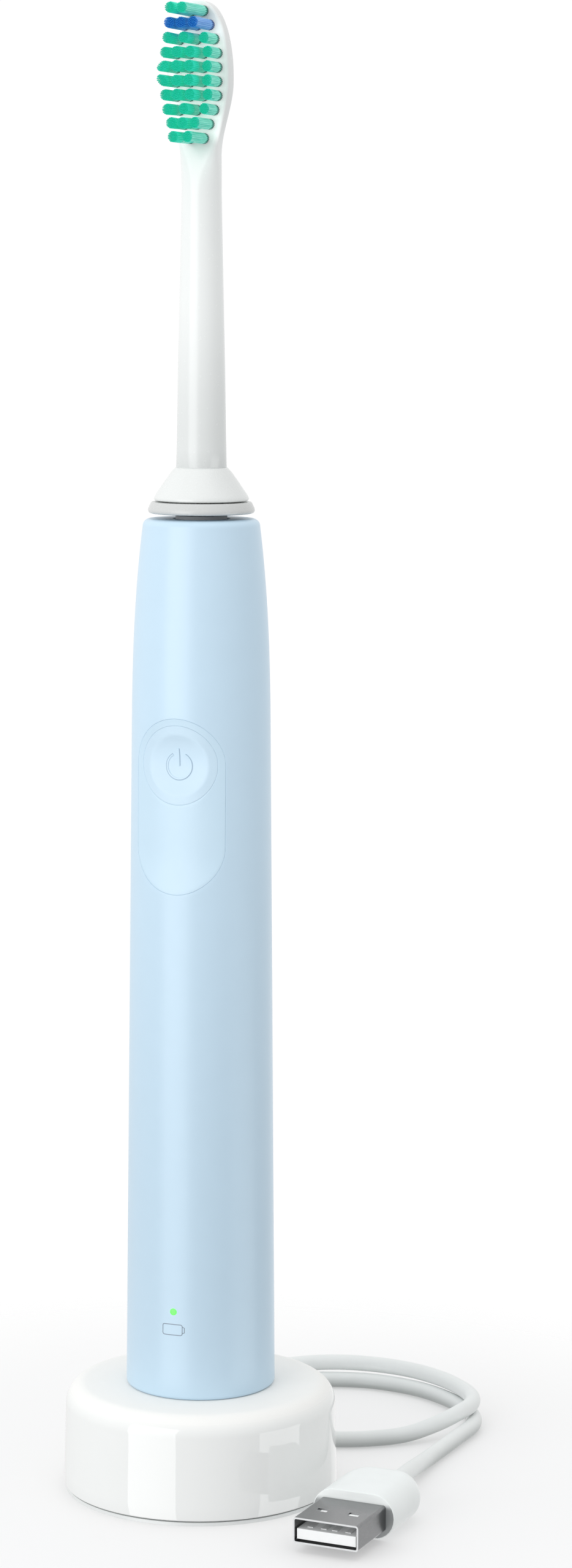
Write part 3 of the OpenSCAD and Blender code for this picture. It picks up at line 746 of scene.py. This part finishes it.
def build_head():
    """The neck and the plate in one smooth moulding, with the shaft's socket inside."""
    count = 112
    angles = [TAU * i / count for i in range(count)]
    angles = [a - 0.1 * sin(4 * a) for a in angles]    # closer together where the edges turn
    heights = [NECK_FOOT + (LOFT_LOW - NECK_FOOT) * i / 14 for i in range(15)]
    heights += [mix(LOFT_LOW, PLATE_WIDE_Z, i / 34) for i in range(1, 35)]
    heights += [mix(PLATE_WIDE_Z, HEAD_TIP - TIP_FLAT, 1 - (1 - i / 26) ** 1.9) for i in range(1, 27)]
    points = []
    for z in heights:
        points += [head_point(z, a) for a in angles]
    inner = [(4.25, NECK_FOOT - 0.12), (SPIGOT_R, NECK_FOOT - 0.12), (SPIGOT_R, SPIGOT_LOW),
             (SOCKET_R, SPIGOT_LOW), (SOCKET_R, SOCKET_TOP)]
    start = len(points)
    for r, z in inner:
        points += [(*polar(r, a), z) for a in angles]
    faces = []
    for j in range(len(heights) - 1):
        faces += ring_faces(j * count, (j + 1) * count, count)
    top = (len(heights) - 1) * count
    faces.append(tuple(top + i for i in range(count)))
    faces += ring_faces(start, 0, count)
    for j in range(len(inner) - 1):
        faces += ring_faces(start + (j + 1) * count, start + j * count, count)
    faces.append(tuple(start + (len(inner) - 1) * count + i for i in range(count)))
    return make_object("neck_and_plate", points, faces, smooth_angle=50)


settle(build_head(), "brush_head", "brush_head_shell", "head_white")


def tuft_rows(rows, tufts):
    """Tufts at (distance off the middle, length), and the slant that a tip is cut at."""
    return [(x, ROW_ONE_Z - ROW_PITCH * (row - 1), length, *(slant or (0.0,)))
            for row in rows for x, length, *slant in tufts]


BLUE_TUFTS = tuft_rows((2,), ((-2.25, 7.5), (0, 7.8), (2.25, 8.0)))
GREEN_TUFTS = tuft_rows((1,), ((-1.12, 9.8), (1.12, 10.0)))
GREEN_TUFTS += tuft_rows((3, 8), ((-3.15, 5.9), (0, 6.5), (3.15, 5.1)))
GREEN_TUFTS += tuft_rows((4, 7), ((-3.7, 5.5), (-1.22, 6.7), (1.22, 6.8), (3.7, 4.9)))
for row, slant in ((5, -1.1), (6, 1.1)):
    GREEN_TUFTS += tuft_rows((row,), ((-3.7, 6.9, slant), (-1.22, 7.0), (1.22, 7.3), (3.7, 5.1)))
GREEN_TUFTS += tuft_rows((9,), ((-2.25, 6.4), (0, 7.1), (2.25, 7.0)))
GREEN_TUFTS += tuft_rows((10,), ((-1.28, 8.1), (1.28, 8.0)))
FILAMENT_R = 0.13
DYE_LENGTH = 2.4        # the filaments are deeply dyed for this far from their tips
DYE_FADE = 0.9
# The darker stretch at the root is painted shade.
ROOT_SHADE = 1.5        # length of the darker stretch above the plate


def filament_places(chance):
    """Places of the filaments in one round tuft, as (x, z) from its middle."""
    places = [(0.0, 0.0)]
    for ring, number in ((1, 6), (2, 12), (3, 18)):
        turn = chance.uniform(0, TAU)
        r = ring * (TUFT_R - FILAMENT_R) / 3
        places += [polar(r, turn + TAU * i / number) for i in range(number)]
    return places


def dye_and_painted_shade(from_tip, from_root, outward):
    """How far along the colours: 0 on the end faces, 0.2 below, 0.5 where pale, 1 at the root. The pale
    stretch is the filaments' own colour below their deeply dyed tips; the darker stretch at the root is
    painted shade, and the sides just below the tips are painted lighter than the end faces for the
    light they catch.
    """
    if from_tip < 0.04:
        return 0.0
    from_tip += (DYE_LENGTH + DYE_FADE) * outward
    pale = min(1.0, max(0.0, (from_tip - DYE_LENGTH) / DYE_FADE))
    root = min(1.0, max(0.0, 1 - from_root / ROOT_SHADE))
    return 0.2 + 0.3 * pale + 0.5 * root


def build_tufts(name, tufts, seed):
    """All tufts of one colour, each a bundle of fine filaments with rounded ends."""
    chance = random.Random(seed)
    sides = 5
    widest = {}
    for x, z, _, _ in tufts:
        widest[z] = max(widest.get(z, 0), abs(x))
    points = []
    faces = []
    # Each point's place along the colours, painted root shade included.
    fade = []
    for x, z, length, slant in tufts:
        # The outer side of a row's last tufts turns pale nearer the tip.
        side = copysign(1, x) if abs(x) == widest[z] and x != 0 else 0
        lean_x, lean_z = chance.uniform(-0.05, 0.05), chance.uniform(-0.04, 0.04)
        for px, pz in filament_places(chance):
            tip = length + slant * pz + chance.uniform(-0.06, 0.04)
            spread = chance.uniform(0.0, 0.05)
            wander_x, wander_z = chance.uniform(-0.02, 0.02), chance.uniform(-0.02, 0.02)
            outward = min(1.0, max(0.0, side * px / TUFT_R * 2.2 - 0.2))
            start = len(points)
            levels = sorted({0.0, 0.35, 0.8, ROOT_SHADE, max(1.6, tip - DYE_LENGTH - DYE_FADE),
                             max(1.7, tip - DYE_LENGTH), tip - 0.1})
            levels = [(-0.9, 1.0)] + [(out, 1.0) for out in levels] + [(tip - 0.03, 0.84), (tip, 0.45)]
            for out, share in levels:
                t = max(0.0, out / tip)
                cx = x + px * (1 + spread * t * t) + (lean_x + wander_x) * t * t
                cz = z + pz * (1 + spread * t * t) + (lean_z + wander_z) * t * t
                for k in range(sides):
                    ax, az = polar(FILAMENT_R * share, TAU * k / sides)
                    points.append((cx + ax, -FACE_Y - out, cz + az))
                    fade.append(dye_and_painted_shade(tip - out, out, outward))
            faces += tube_faces(start, len(levels), sides)
    obj = make_object(name, points, faces, smooth_angle=60)
    layer = obj.data.attributes.new("dye_and_shade_fade", "FLOAT", "POINT")
    for i, value in enumerate(fade):
        layer.data[i].value = value
    return obj


for colour, tufts, seed in (("green", GREEN_TUFTS, 11), ("blue", BLUE_TUFTS, 23)):
    settle(build_tufts("filaments_" + colour, tufts, seed), "brush_head", "bristles_" + colour,
           "bristle_" + colour)

# ---------------- materials


def linear(r, g, b):
    """A colour from its 0 to 255 values to the renderer's linear values."""
    found = []
    for c in (r, g, b):
        c /= 255
        found.append(c / 12.92 if c <= 0.04045 else ((c + 0.055) / 1.055) ** 2.4)
    return (*found, 1.0)


NOISE_LOW, NOISE_HIGH = 0.3, 0.7        # the span that most of a noise's values lie in


def shaded(colour, factor):
    """A linear colour made lighter or darker."""
    return (*(min(1.0, c * factor) for c in colour[:3]), 1.0)


def put(node, **values):
    """Sets a node's inputs; a blank in an input's name is written as an underscore."""
    for socket, value in values.items():
        node.inputs[socket.replace("_", " ")].default_value = value


class Nodes:
    """The nodes of a material or a world, which starts with none."""

    def __init__(self, owner):
        owner.use_nodes = True
        self.tree = owner.node_tree
        self.tree.nodes.clear()
        self.place = self.add("TexCoord")

    def add(self, kind, operation=None, **sockets):
        """A new node, with the values of its inputs."""
        node = self.tree.nodes.new("ShaderNode" + kind)
        if operation:
            node.operation = operation
        put(node, **sockets)
        return node

    def link(self, source, output, target, socket):
        self.tree.links.new(source.outputs[output], target.inputs[socket])

    def ramp(self, source, output, stops):
        """A colour ramp from (position, colour) stops."""
        node = self.add("ValToRGB")
        ramp = node.color_ramp
        while len(ramp.elements) < len(stops):
            ramp.elements.new(0.5)
        for element, (position, colour) in zip(ramp.elements, stops):
            element.position = position
            element.color = colour
        self.link(source, output, node, "Fac")
        return node


class Finish(Nodes):
    """A node material for moulded or machined surfaces, with noise at its real scale."""

    def __init__(self, name, **sockets):
        self.material = bpy.data.materials.new(name)
        super().__init__(self.material)
        self.output = self.add("OutputMaterial")
        self.shader = self.add("BsdfPrincipled", **sockets)
        self.link(self.shader, "BSDF", self.output, "Surface")

    def source(self, socket):
        """The node that feeds an input of the shader."""
        return self.shader.inputs[socket].links[0].from_node

    def noise(self, size_mm, detail=2.0, stretch=None):
        """Noise whose blotches are about this many millimetres wide."""
        node = self.add("TexNoise", Scale=1 / (size_mm * MM), Detail=detail)
        if stretch:
            mapping = self.add("Mapping", Scale=stretch)
            self.link(self.place, "Object", mapping, "Vector")
            self.link(mapping, "Vector", node, "Vector")
        else:
            self.link(self.place, "Object", node, "Vector")
        return node

    def colour(self, base, size_mm=3.0, spread=0.02, stretch=None):
        """A base colour that drifts a little over the surface."""
        noise = self.noise(size_mm, 3.0, stretch)
        stops = [(NOISE_LOW, shaded(base, 1 - spread)), (NOISE_HIGH, shaded(base, 1 + spread))]
        self.link(self.ramp(noise, "Fac", stops), "Color", self.shader, "Base Color")

    def roughness(self, low, high, size_mm=0.8, stretch=None):
        """Roughness that varies between two values."""
        noise = self.noise(size_mm, 4.0, stretch)
        scale = self.add("MapRange", From_Min=NOISE_LOW, From_Max=NOISE_HIGH, To_Min=low, To_Max=high)
        self.link(noise, "Fac", scale, "Value")
        self.link(scale, "Result", self.shader, "Roughness")

    def between(self, start_mm, end_mm, low=0.0, high=1.0, axis="Z"):
        """A value that goes from low to high between two places along an axis."""
        place = self.add("SeparateXYZ")
        span = self.add("MapRange", From_Min=start_mm * MM, From_Max=end_mm * MM,
                        To_Min=low, To_Max=high)
        span.interpolation_type = "SMOOTHSTEP"
        self.link(self.place, "Object", place, "Vector")
        self.link(place, axis, span, "Value")
        return span

    def times(self, first, second):
        """The product of two values."""
        product = self.add("Math", "MULTIPLY")
        self.link(first, 0, product, 0)
        self.link(second, 0, product, 1)
        return product

    def tint(self, share, none, full):
        """Multiplies the base colour by one tint where the share is 0 and another where it is 1; here
        it always paints shade.
        """
        tints = self.ramp(share, 0, [(0, (*none, 1)), (1, (*full, 1))])
        product = self.add("VectorMath", "MULTIPLY")
        self.link(self.source("Base Color"), 0, product, 0)
        self.link(tints, "Color", product, 1)
        self.link(product, "Vector", self.shader, "Base Color")

    def glow(self, share):
        """Lets the surface give off a share of its own colour, as painted light."""
        self.link(share, 0, self.shader, "Emission Strength")
        self.link(self.source("Base Color"), 0, self.shader, "Emission Color")

    def bump(self, size_mm, height_mm, stretch=None):
        """Fine relief of this height."""
        noise = self.noise(size_mm, 2.0, stretch)
        node = self.add("Bump", Strength=1.0, Distance=height_mm * MM)
        self.link(noise, "Fac", node, "Height")
        self.link(node, "Normal", self.shader, "Normal")


def moulded(name, rgb, low, high, grain_mm=0.25, relief_mm=0.004, spread=0.012, tints=None):
    """Moulded plastic or rubber; tints are a start and an end height, and the tint at each, which here
    paints shade.
    """
    finish = Finish(name)
    finish.colour(linear(*rgb), 4.0, spread)
    if tints:
        finish.tint(finish.between(*tints[:2]), *tints[2:])
    finish.roughness(low, high)
    finish.bump(grain_mm, relief_mm)
    return finish.material


def metal(name, rgb, low, high, stretch=(1, 1, 12), relief_mm=0.003):
    """Drawn or turned metal with fine lines."""
    finish = Finish(name, Metallic=1.0)
    finish.colour(linear(*rgb), 1.5, 0.06, stretch)
    finish.roughness(low, high, 0.4, stretch)
    finish.bump(0.15, relief_mm, stretch)
    return finish.material


def bristle(name, colours):
    """Nylon filaments with a slight painted glow that stands for light scattered through them; their
    colour runs from the tips to the root as worked out for each point in build_tufts, painted root
    shade included.
    """
    finish = Finish(name, Roughness=0.5, Specular_IOR_Level=0.3)
    attribute = finish.add("Attribute")
    attribute.attribute_name = "dye_and_shade_fade"
    noise = finish.noise(0.26, 2.0, (1, 0.06, 1))
    drift = finish.add("Math", "MULTIPLY_ADD")
    drift.inputs[1].default_value = DYE_DRIFT
    finish.link(noise, "Fac", drift, 0)
    finish.link(attribute, "Fac", drift, 2)
    ramp = finish.ramp(drift, "Value", [(at, linear(*rgb)) for at, rgb in zip(DYE_STOPS, colours)])
    finish.link(ramp, "Color", finish.shader, "Base Color")
    # The emission is a painted glow that stands for light scattered through the nylon.
    finish.link(ramp, "Color", finish.shader, "Emission Color")
    put(finish.shader, Emission_Strength=BRISTLE_GLOW)
    finish.bump(0.08, 0.004, (1, 0.1, 1))
    return finish.material


def head_plastic():
    """White plastic, with painted shade darkening the neck's foot and the band round the plate's rim,
    and a painted glow of light on the plate's front between the tufts.
    """
    finish = Finish("white_head_plastic")
    finish.colour(linear(240, 243, 242), 4.0, 0.005)
    finish.tint(finish.between(186, 212), NECK_FOOT_TINT, NO_TINT)
    rim = finish.times(finish.between(0.08 - FACE_Y, 0.3 - FACE_Y, axis="Y"), finish.between(236, 242))
    finish.tint(rim, NO_TINT, RIM_TINT)
    finish.roughness(0.2, 0.28)
    finish.bump(0.3, 0.001)
    # Painted light: a glow on the plate's front between the tufts, fading at its tip and sides.
    glow = finish.times(finish.between(236, 238.5), finish.between(254.5, 258.5, 1.0, TIP_GLOW))
    for limits in ((0.05 - FACE_Y, 0.8 - FACE_Y, FIELD_GLOW, 0.0, "Y"), (3.6, 5.6, 1.0, EDGE_GLOW, "X"),
                   (-5.6, -3.6, EDGE_GLOW, 1.0, "X")):
        glow = finish.times(glow, finish.between(*limits))
    finish.glow(glow)
    return finish.material


def insert_plastic(name, rgb):
    """The plug's pale insert, with a painted glow that stands for light reaching it behind the shell's
    holes, and only a faint one in the mouth.
    """
    finish = Finish(name)
    finish.colour(linear(*rgb), 2.0, 0.01)
    finish.glow(finish.between(PLUG_AT.y + 7, PLUG_AT.y + 9, MOUTH_GLOW, HOLE_GLOW, "Y"))
    finish.roughness(0.4, 0.5)
    finish.bump(0.2, 0.003)
    return finish.material


def charger_plastic():
    """White plastic, polished round the side and satin on the top, with painted shade: the side darker
    and bluer than the top, and the top a little darker too.
    """
    finish = Finish("white_gloss_plastic")
    edge = (CHARGER_H - CHARGER_EDGE_R * 0.7, CHARGER_H - 0.1)
    finish.colour(linear(252, 251, 248), 4.0, 0.004)
    finish.tint(finish.between(*edge), CHARGER_SIDE_TINT, CHARGER_TOP_TINT)
    finish.roughness(0.02, 0.035)
    total = finish.add("Math")
    finish.link(finish.between(*edge, 0.0, SATIN), "Result", total, 0)
    finish.link(finish.source("Roughness"), "Result", total, 1)
    finish.link(total, "Value", finish.shader, "Roughness")
    finish.link(finish.between(*edge, 0.5, 0.1), "Result", finish.shader, "Specular IOR Level")
    finish.bump(0.6, 0.0002)
    return finish.material


def glow_material():
    """The lit charge light: clear plastic over a green lamp."""
    finish = Finish("charge_light_lens_glow", Roughness=0.2, Emission_Strength=LAMP_GLOW)
    finish.colour(linear(96, 226, 90), 0.4, 0.05)
    lamp = [(NOISE_LOW, linear(70, 226, 70)), (NOISE_HIGH, linear(110, 240, 100))]
    finish.link(finish.ramp(finish.noise(0.5), "Fac", lamp), "Color", finish.shader, "Emission Color")
    finish.bump(0.2, 0.003)
    return finish.material


# Tints and glows that stand for light and shade in the photo. They are not the materials' own.
NO_TINT = (1, 1, 1)
NECK_FOOT_TINT = (0.85, 0.855, 0.855)
RIM_TINT = (0.89, 0.895, 0.895)
CHARGER_SIDE_TINT = (0.885, 0.91, 0.925)
CHARGER_TOP_TINT = (0.945, 0.95, 0.95)
CORD_UNDER_TINT = (0.5, 0.52, 0.51)
HANDLE_LOW_TINT = (0.9, 0.9, 0.9)
GRIP_LOW_TINT = (0.31, 0.315, 0.32)
BRISTLE_GLOW = 0.15
FIELD_GLOW = 0.42       # on the plate's front, between the tufts
TIP_GLOW = 0.1          # what is left of it at the plate's tip and sides
EDGE_GLOW = 0.06
MOUTH_GLOW = 0.04
HOLE_GLOW = 0.95

LAMP_GLOW = 0.55        # the charge light's own
SATIN = 0.5             # roughness that the charger's top has over its side
DYE_DRIFT = 0.12
DYE_STOPS = (0.0, 0.1, 0.2, 0.3, 0.42, 0.53, 0.6, 0.7, 0.84, 1.0)
# Past 0.6 the colours darken towards the root as painted shade, and the colours at 0.2 and 0.3 are
# painted lighter than the end faces' for the light the sides catch; the rest is the filaments' own
# colour.
GREEN_DYE_AND_PAINTED_SHADE = ((7, 176, 150), (9, 182, 154), (44, 218, 190), (62, 230, 204), (88, 220, 200),
             (88, 204, 184), (160, 242, 224), (112, 210, 190), (60, 152, 134), (24, 92, 78))
BLUE_DYE_AND_PAINTED_SHADE = ((15, 110, 186), (18, 116, 192), (46, 126, 202), (58, 138, 212), (80, 146, 214),
            (92, 150, 212), (148, 192, 242), (104, 154, 214), (58, 102, 170), (24, 56, 116))

LOOKS = {
    "white_housing": charger_plastic(),
    "white_cover": moulded("white_satin_plastic", (228, 231, 230), 0.3, 0.42),
    "plug_white": moulded("white_plug_plastic", (238, 242, 241), 0.3, 0.42, 0.2, 0.003),
    "white_rubber": moulded("white_soft_rubber", (226, 229, 228), 0.5, 0.62, 0.3, 0.006),
    # The cord's underside is darkened as painted shade where it lies near the floor.
    "cord_jacket": moulded("white_cord_jacket", (232, 235, 234), 0.36, 0.48,
                           tints=(0.1, 2.9, CORD_UNDER_TINT, NO_TINT)),
    "plug_steel": metal("plug_bright_steel", (137, 138, 139), 0.2, 0.28, (12, 1, 12), 0.0015),
    "tongue_white": insert_plastic("white_insert_plastic", (238, 240, 240)),
    "contact_metal": insert_plastic("plated_contact", (214, 216, 216)),
    # The handle is darkened towards its foot as painted shade.
    "handle_blue": moulded("blue_satin_plastic", (201, 226, 243), 0.29, 0.35, 0.22, 0.003, 0.006,
                           (35, 150, HANDLE_LOW_TINT, NO_TINT)),
    "pad_blue": moulded("blue_soft_pad", (200, 225, 241), 0.33, 0.4, 0.2, 0.003, 0.006),
    "button_blue": moulded("blue_button_plastic", (201, 225, 241), 0.33, 0.4, 0.2, 0.003, 0.006),
    "seal_grey": moulded("grey_seal_rubber", (184, 185, 187), 0.45, 0.6, 0.25, 0.006, 0.03),
    "ring_grey": moulded("grey_ring_plastic", (207, 209, 208), 0.22, 0.32, 0.5, 0.0003, 0.01),
    "skirt_white": moulded("white_skirt_plastic", (230, 233, 232), 0.22, 0.3, 0.5, 0.0003, 0.005),
    "head_white": head_plastic(),
    "dark_plastic": moulded("dark_moulding", (52, 53, 56), 0.4, 0.55, 0.3, 0.006, 0.05),
    "copper": metal("copper_winding", (190, 110, 60), 0.25, 0.4, (1, 1, 30), 0.02),
    "ferrite": moulded("ferrite_grey", (70, 68, 68), 0.6, 0.75, 0.4, 0.01, 0.08),
    "board": moulded("board_green", (28, 92, 58), 0.35, 0.5, 0.5, 0.004, 0.06),
    "black_rubber": moulded("black_seal_rubber", (30, 30, 31), 0.55, 0.7, 0.3, 0.006, 0.06),
    "chassis_white": moulded("chassis_plastic", (222, 224, 224), 0.42, 0.55, 0.3, 0.005, 0.02),
    "cell_wrap": moulded("cell_green_wrap", (52, 120, 84), 0.25, 0.35, 1.2, 0.01, 0.03),
    "nickel": metal("nickel_strip", (196, 196, 190), 0.25, 0.38),
    "lamination": metal("steel_lamination", (128, 130, 134), 0.35, 0.5, (1, 12, 1), 0.02),
    "shaft_steel": metal("turned_steel", (190, 191, 193), 0.18, 0.28, (1, 1, 14)),
    "bronze": metal("sintered_bronze", (176, 138, 82), 0.4, 0.55, (1, 1, 1), 0.01),
    "sign_print": moulded("grey_print", (132, 146, 160), 0.4, 0.5, 0.2, 0.001, 0.03),
    # Painted shadow along the power sign's outside.
    "sign_painted_shadow": moulded("blue_sign_painted_shadow", (160, 184, 203), 0.4, 0.5, 0.2, 0.001, 0.01),
    # The grip's front face: the grip's own white, darkened towards its foot as painted shade.
    "grip_face": moulded("plug_face_painted_shade", (238, 242, 241), 0.35, 0.45, 0.2, 0.003, 0.03,
                         (PLUG_AT.z + 1.4, PLUG_AT.z + 2.7, GRIP_LOW_TINT, NO_TINT)),
    "bristle_green": bristle("green_nylon", GREEN_DYE_AND_PAINTED_SHADE),
    "bristle_blue": bristle("blue_nylon", BLUE_DYE_AND_PAINTED_SHADE),
    "light_green": glow_material(),
}

slot_of_node = {piece["node"]: piece["material_slot"] for piece in frame["record"]["subparts"]}
for node_name, node_object in nodes.items():
    node_object.data.materials.clear()
    node_object.data.materials.append(LOOKS[slot_of_node[node_name]])
for piece_name, look in LOOK_OF_PIECE.items():
    bpy.data.objects[piece_name].data.materials.append(LOOKS[look])
plug_grip.data.materials.append(LOOKS["grip_face"])

# ---------------- floor and light

FLOOR_Z = -0.03         # just under the charger, in millimetres
FLOOR_RADII = (60, 120, 200, 320, 520)
FLOOR_GLOW = 0.33
FLOOR_FADE = (0.055, 0.16)      # metres from the middle where it starts and ends to fade
EYE_WHITE = 1.02
BRIGHT_WAY = (-0.18, 0.6, 0.7)
DIM = 0.64
BRIGHT = 0.96
LIGHT_AIM = Vector((0, 0, 0.12))
CARD_DISTANCE = 0.9
BLACK = (0, 0, 0, 1)
WHITE = (1, 1, 1, 1)
NEAR_WHITE = (0.98, 0.98, 0.98, 1)


def build_floor():
    """A white floor that fades into the white surroundings."""
    sides = 96
    points = [(0, 0, FLOOR_Z)]
    for r in FLOOR_RADII:
        points += [(*polar(r, TAU * i / sides), FLOOR_Z) for i in range(sides)]
    faces = [(0, 1 + i, 1 + (i + 1) % sides) for i in range(sides)]
    for j in range(len(FLOOR_RADII) - 1):
        faces += ring_faces(1 + j * sides, 1 + (j + 1) * sides, sides)
    floor = make_object("studio_floor", points, faces)
    finish = Finish("studio_floor_white", Roughness=0.6, Specular_IOR_Level=0.2,
                    Emission_Color=WHITE, Emission_Strength=FLOOR_GLOW)
    finish.colour(linear(200, 200, 200), 60, 0.002)
    blend = finish.add("MixShader")
    length = finish.add("VectorMath", "LENGTH")
    fade = finish.add("MapRange", From_Min=FLOOR_FADE[0], From_Max=FLOOR_FADE[1])
    fade.interpolation_type = "SMOOTHSTEP"
    finish.link(finish.place, "Object", length, 0)
    finish.link(length, "Value", fade, "Value")
    finish.link(fade, "Result", blend, "Fac")
    finish.link(finish.shader, "BSDF", blend, 1)
    finish.link(finish.add("BsdfTransparent"), "BSDF", blend, 2)
    finish.link(blend, "Shader", finish.output, "Surface")
    floor.data.materials.append(finish.material)
    floor.visible_glossy = False
    floor.visible_diffuse = False


build_floor()


def build_world():
    """White surroundings: full white to the eye, softer as light, and brightest behind and above."""
    world = bpy.data.worlds.new("studio")
    bpy.context.scene.world = world
    sky = Nodes(world)
    seen = sky.add("Background", Color=WHITE, Strength=EYE_WHITE)
    lit = sky.add("Background", Strength=1.0)
    turn = sky.add("VectorMath", "DOT_PRODUCT")
    turn.inputs[1].default_value = BRIGHT_WAY
    half = sky.add("MapRange", From_Min=-1.0)
    mixer = sky.add("MixShader")
    sky.link(sky.place, "Generated", turn, 0)
    sky.link(turn, "Value", half, "Value")
    stops = [(0.2, (DIM, DIM, DIM * 1.01, 1)), (0.8, (BRIGHT, BRIGHT, BRIGHT, 1))]
    sky.link(sky.ramp(half, "Result", stops), "Color", lit, "Color")
    sky.link(sky.add("LightPath"), "Is Camera Ray", mixer, "Fac")
    sky.link(lit, "Background", mixer, 1)
    sky.link(seen, "Background", mixer, 2)
    sky.link(mixer, "Shader", sky.add("OutputWorld"), "Surface")


build_world()


def area_light(name, azimuth, elevation, distance, wide, high, radiance):
    """A soft box of this brightness, facing the object."""
    data = bpy.data.lights.new(name, "AREA")
    data.shape = "RECTANGLE"
    data.size = wide
    data.size_y = high
    data.energy = radiance * pi * wide * high
    light = bpy.data.objects.new(name, data)
    bpy.context.scene.collection.objects.link(light)
    a, e = radians(azimuth), radians(elevation)
    way = Vector((sin(a) * cos(e), -cos(a) * cos(e), sin(e)))
    light.location = LIGHT_AIM + distance * way
    light.rotation_euler = way.to_track_quat("Z", "Y").to_euler()


area_light("key_box", -20, 12, 0.9, 0.70, 0.6, 2.5)
area_light("top_box", 20, 80, 1.0, 0.8, 0.7, 0.4)


def reflection_card(name, azimuth, wide, low, high, radiance):
    """A bright card that only glossy surfaces see, between two elevations."""
    points = []
    for turn in (azimuth - wide / 2, azimuth + wide / 2):
        for elevation in (low, high):
            across, ahead = (CARD_DISTANCE * f(radians(turn)) for f in (sin, cos))
            points.append((across, -ahead, tan(radians(elevation)) * CARD_DISTANCE))
    card = make_object(name, points, [(0, 2, 3, 1)], 1.0)
    finish = Finish(name + "_light", Roughness=1.0, Base_Color=BLACK, Specular_IOR_Level=0,
                    Emission_Strength=radiance)
    ramp = finish.ramp(finish.noise(300), "Fac", [(NOISE_LOW, NEAR_WHITE), (NOISE_HIGH, WHITE)])
    finish.link(ramp, "Color", finish.shader, "Emission Color")
    finish.material.cycles.emission_sampling = "NONE"
    card.data.materials.append(finish.material)
    card.visible_camera = False
    card.visible_diffuse = False
    card.visible_shadow = False
    card.visible_transmission = False


reflection_card("strip_card", -20, 42, -42, 6, 3.2)
reflection_card("side_card", 92, 41, -42, -4, 2.5)
reflection_card("rim_card", 177, 22, -42, -4, 1.1)

bpy.context.scene.view_settings.view_transform = "Standard"
bpy.context.scene.view_settings.look = "None"
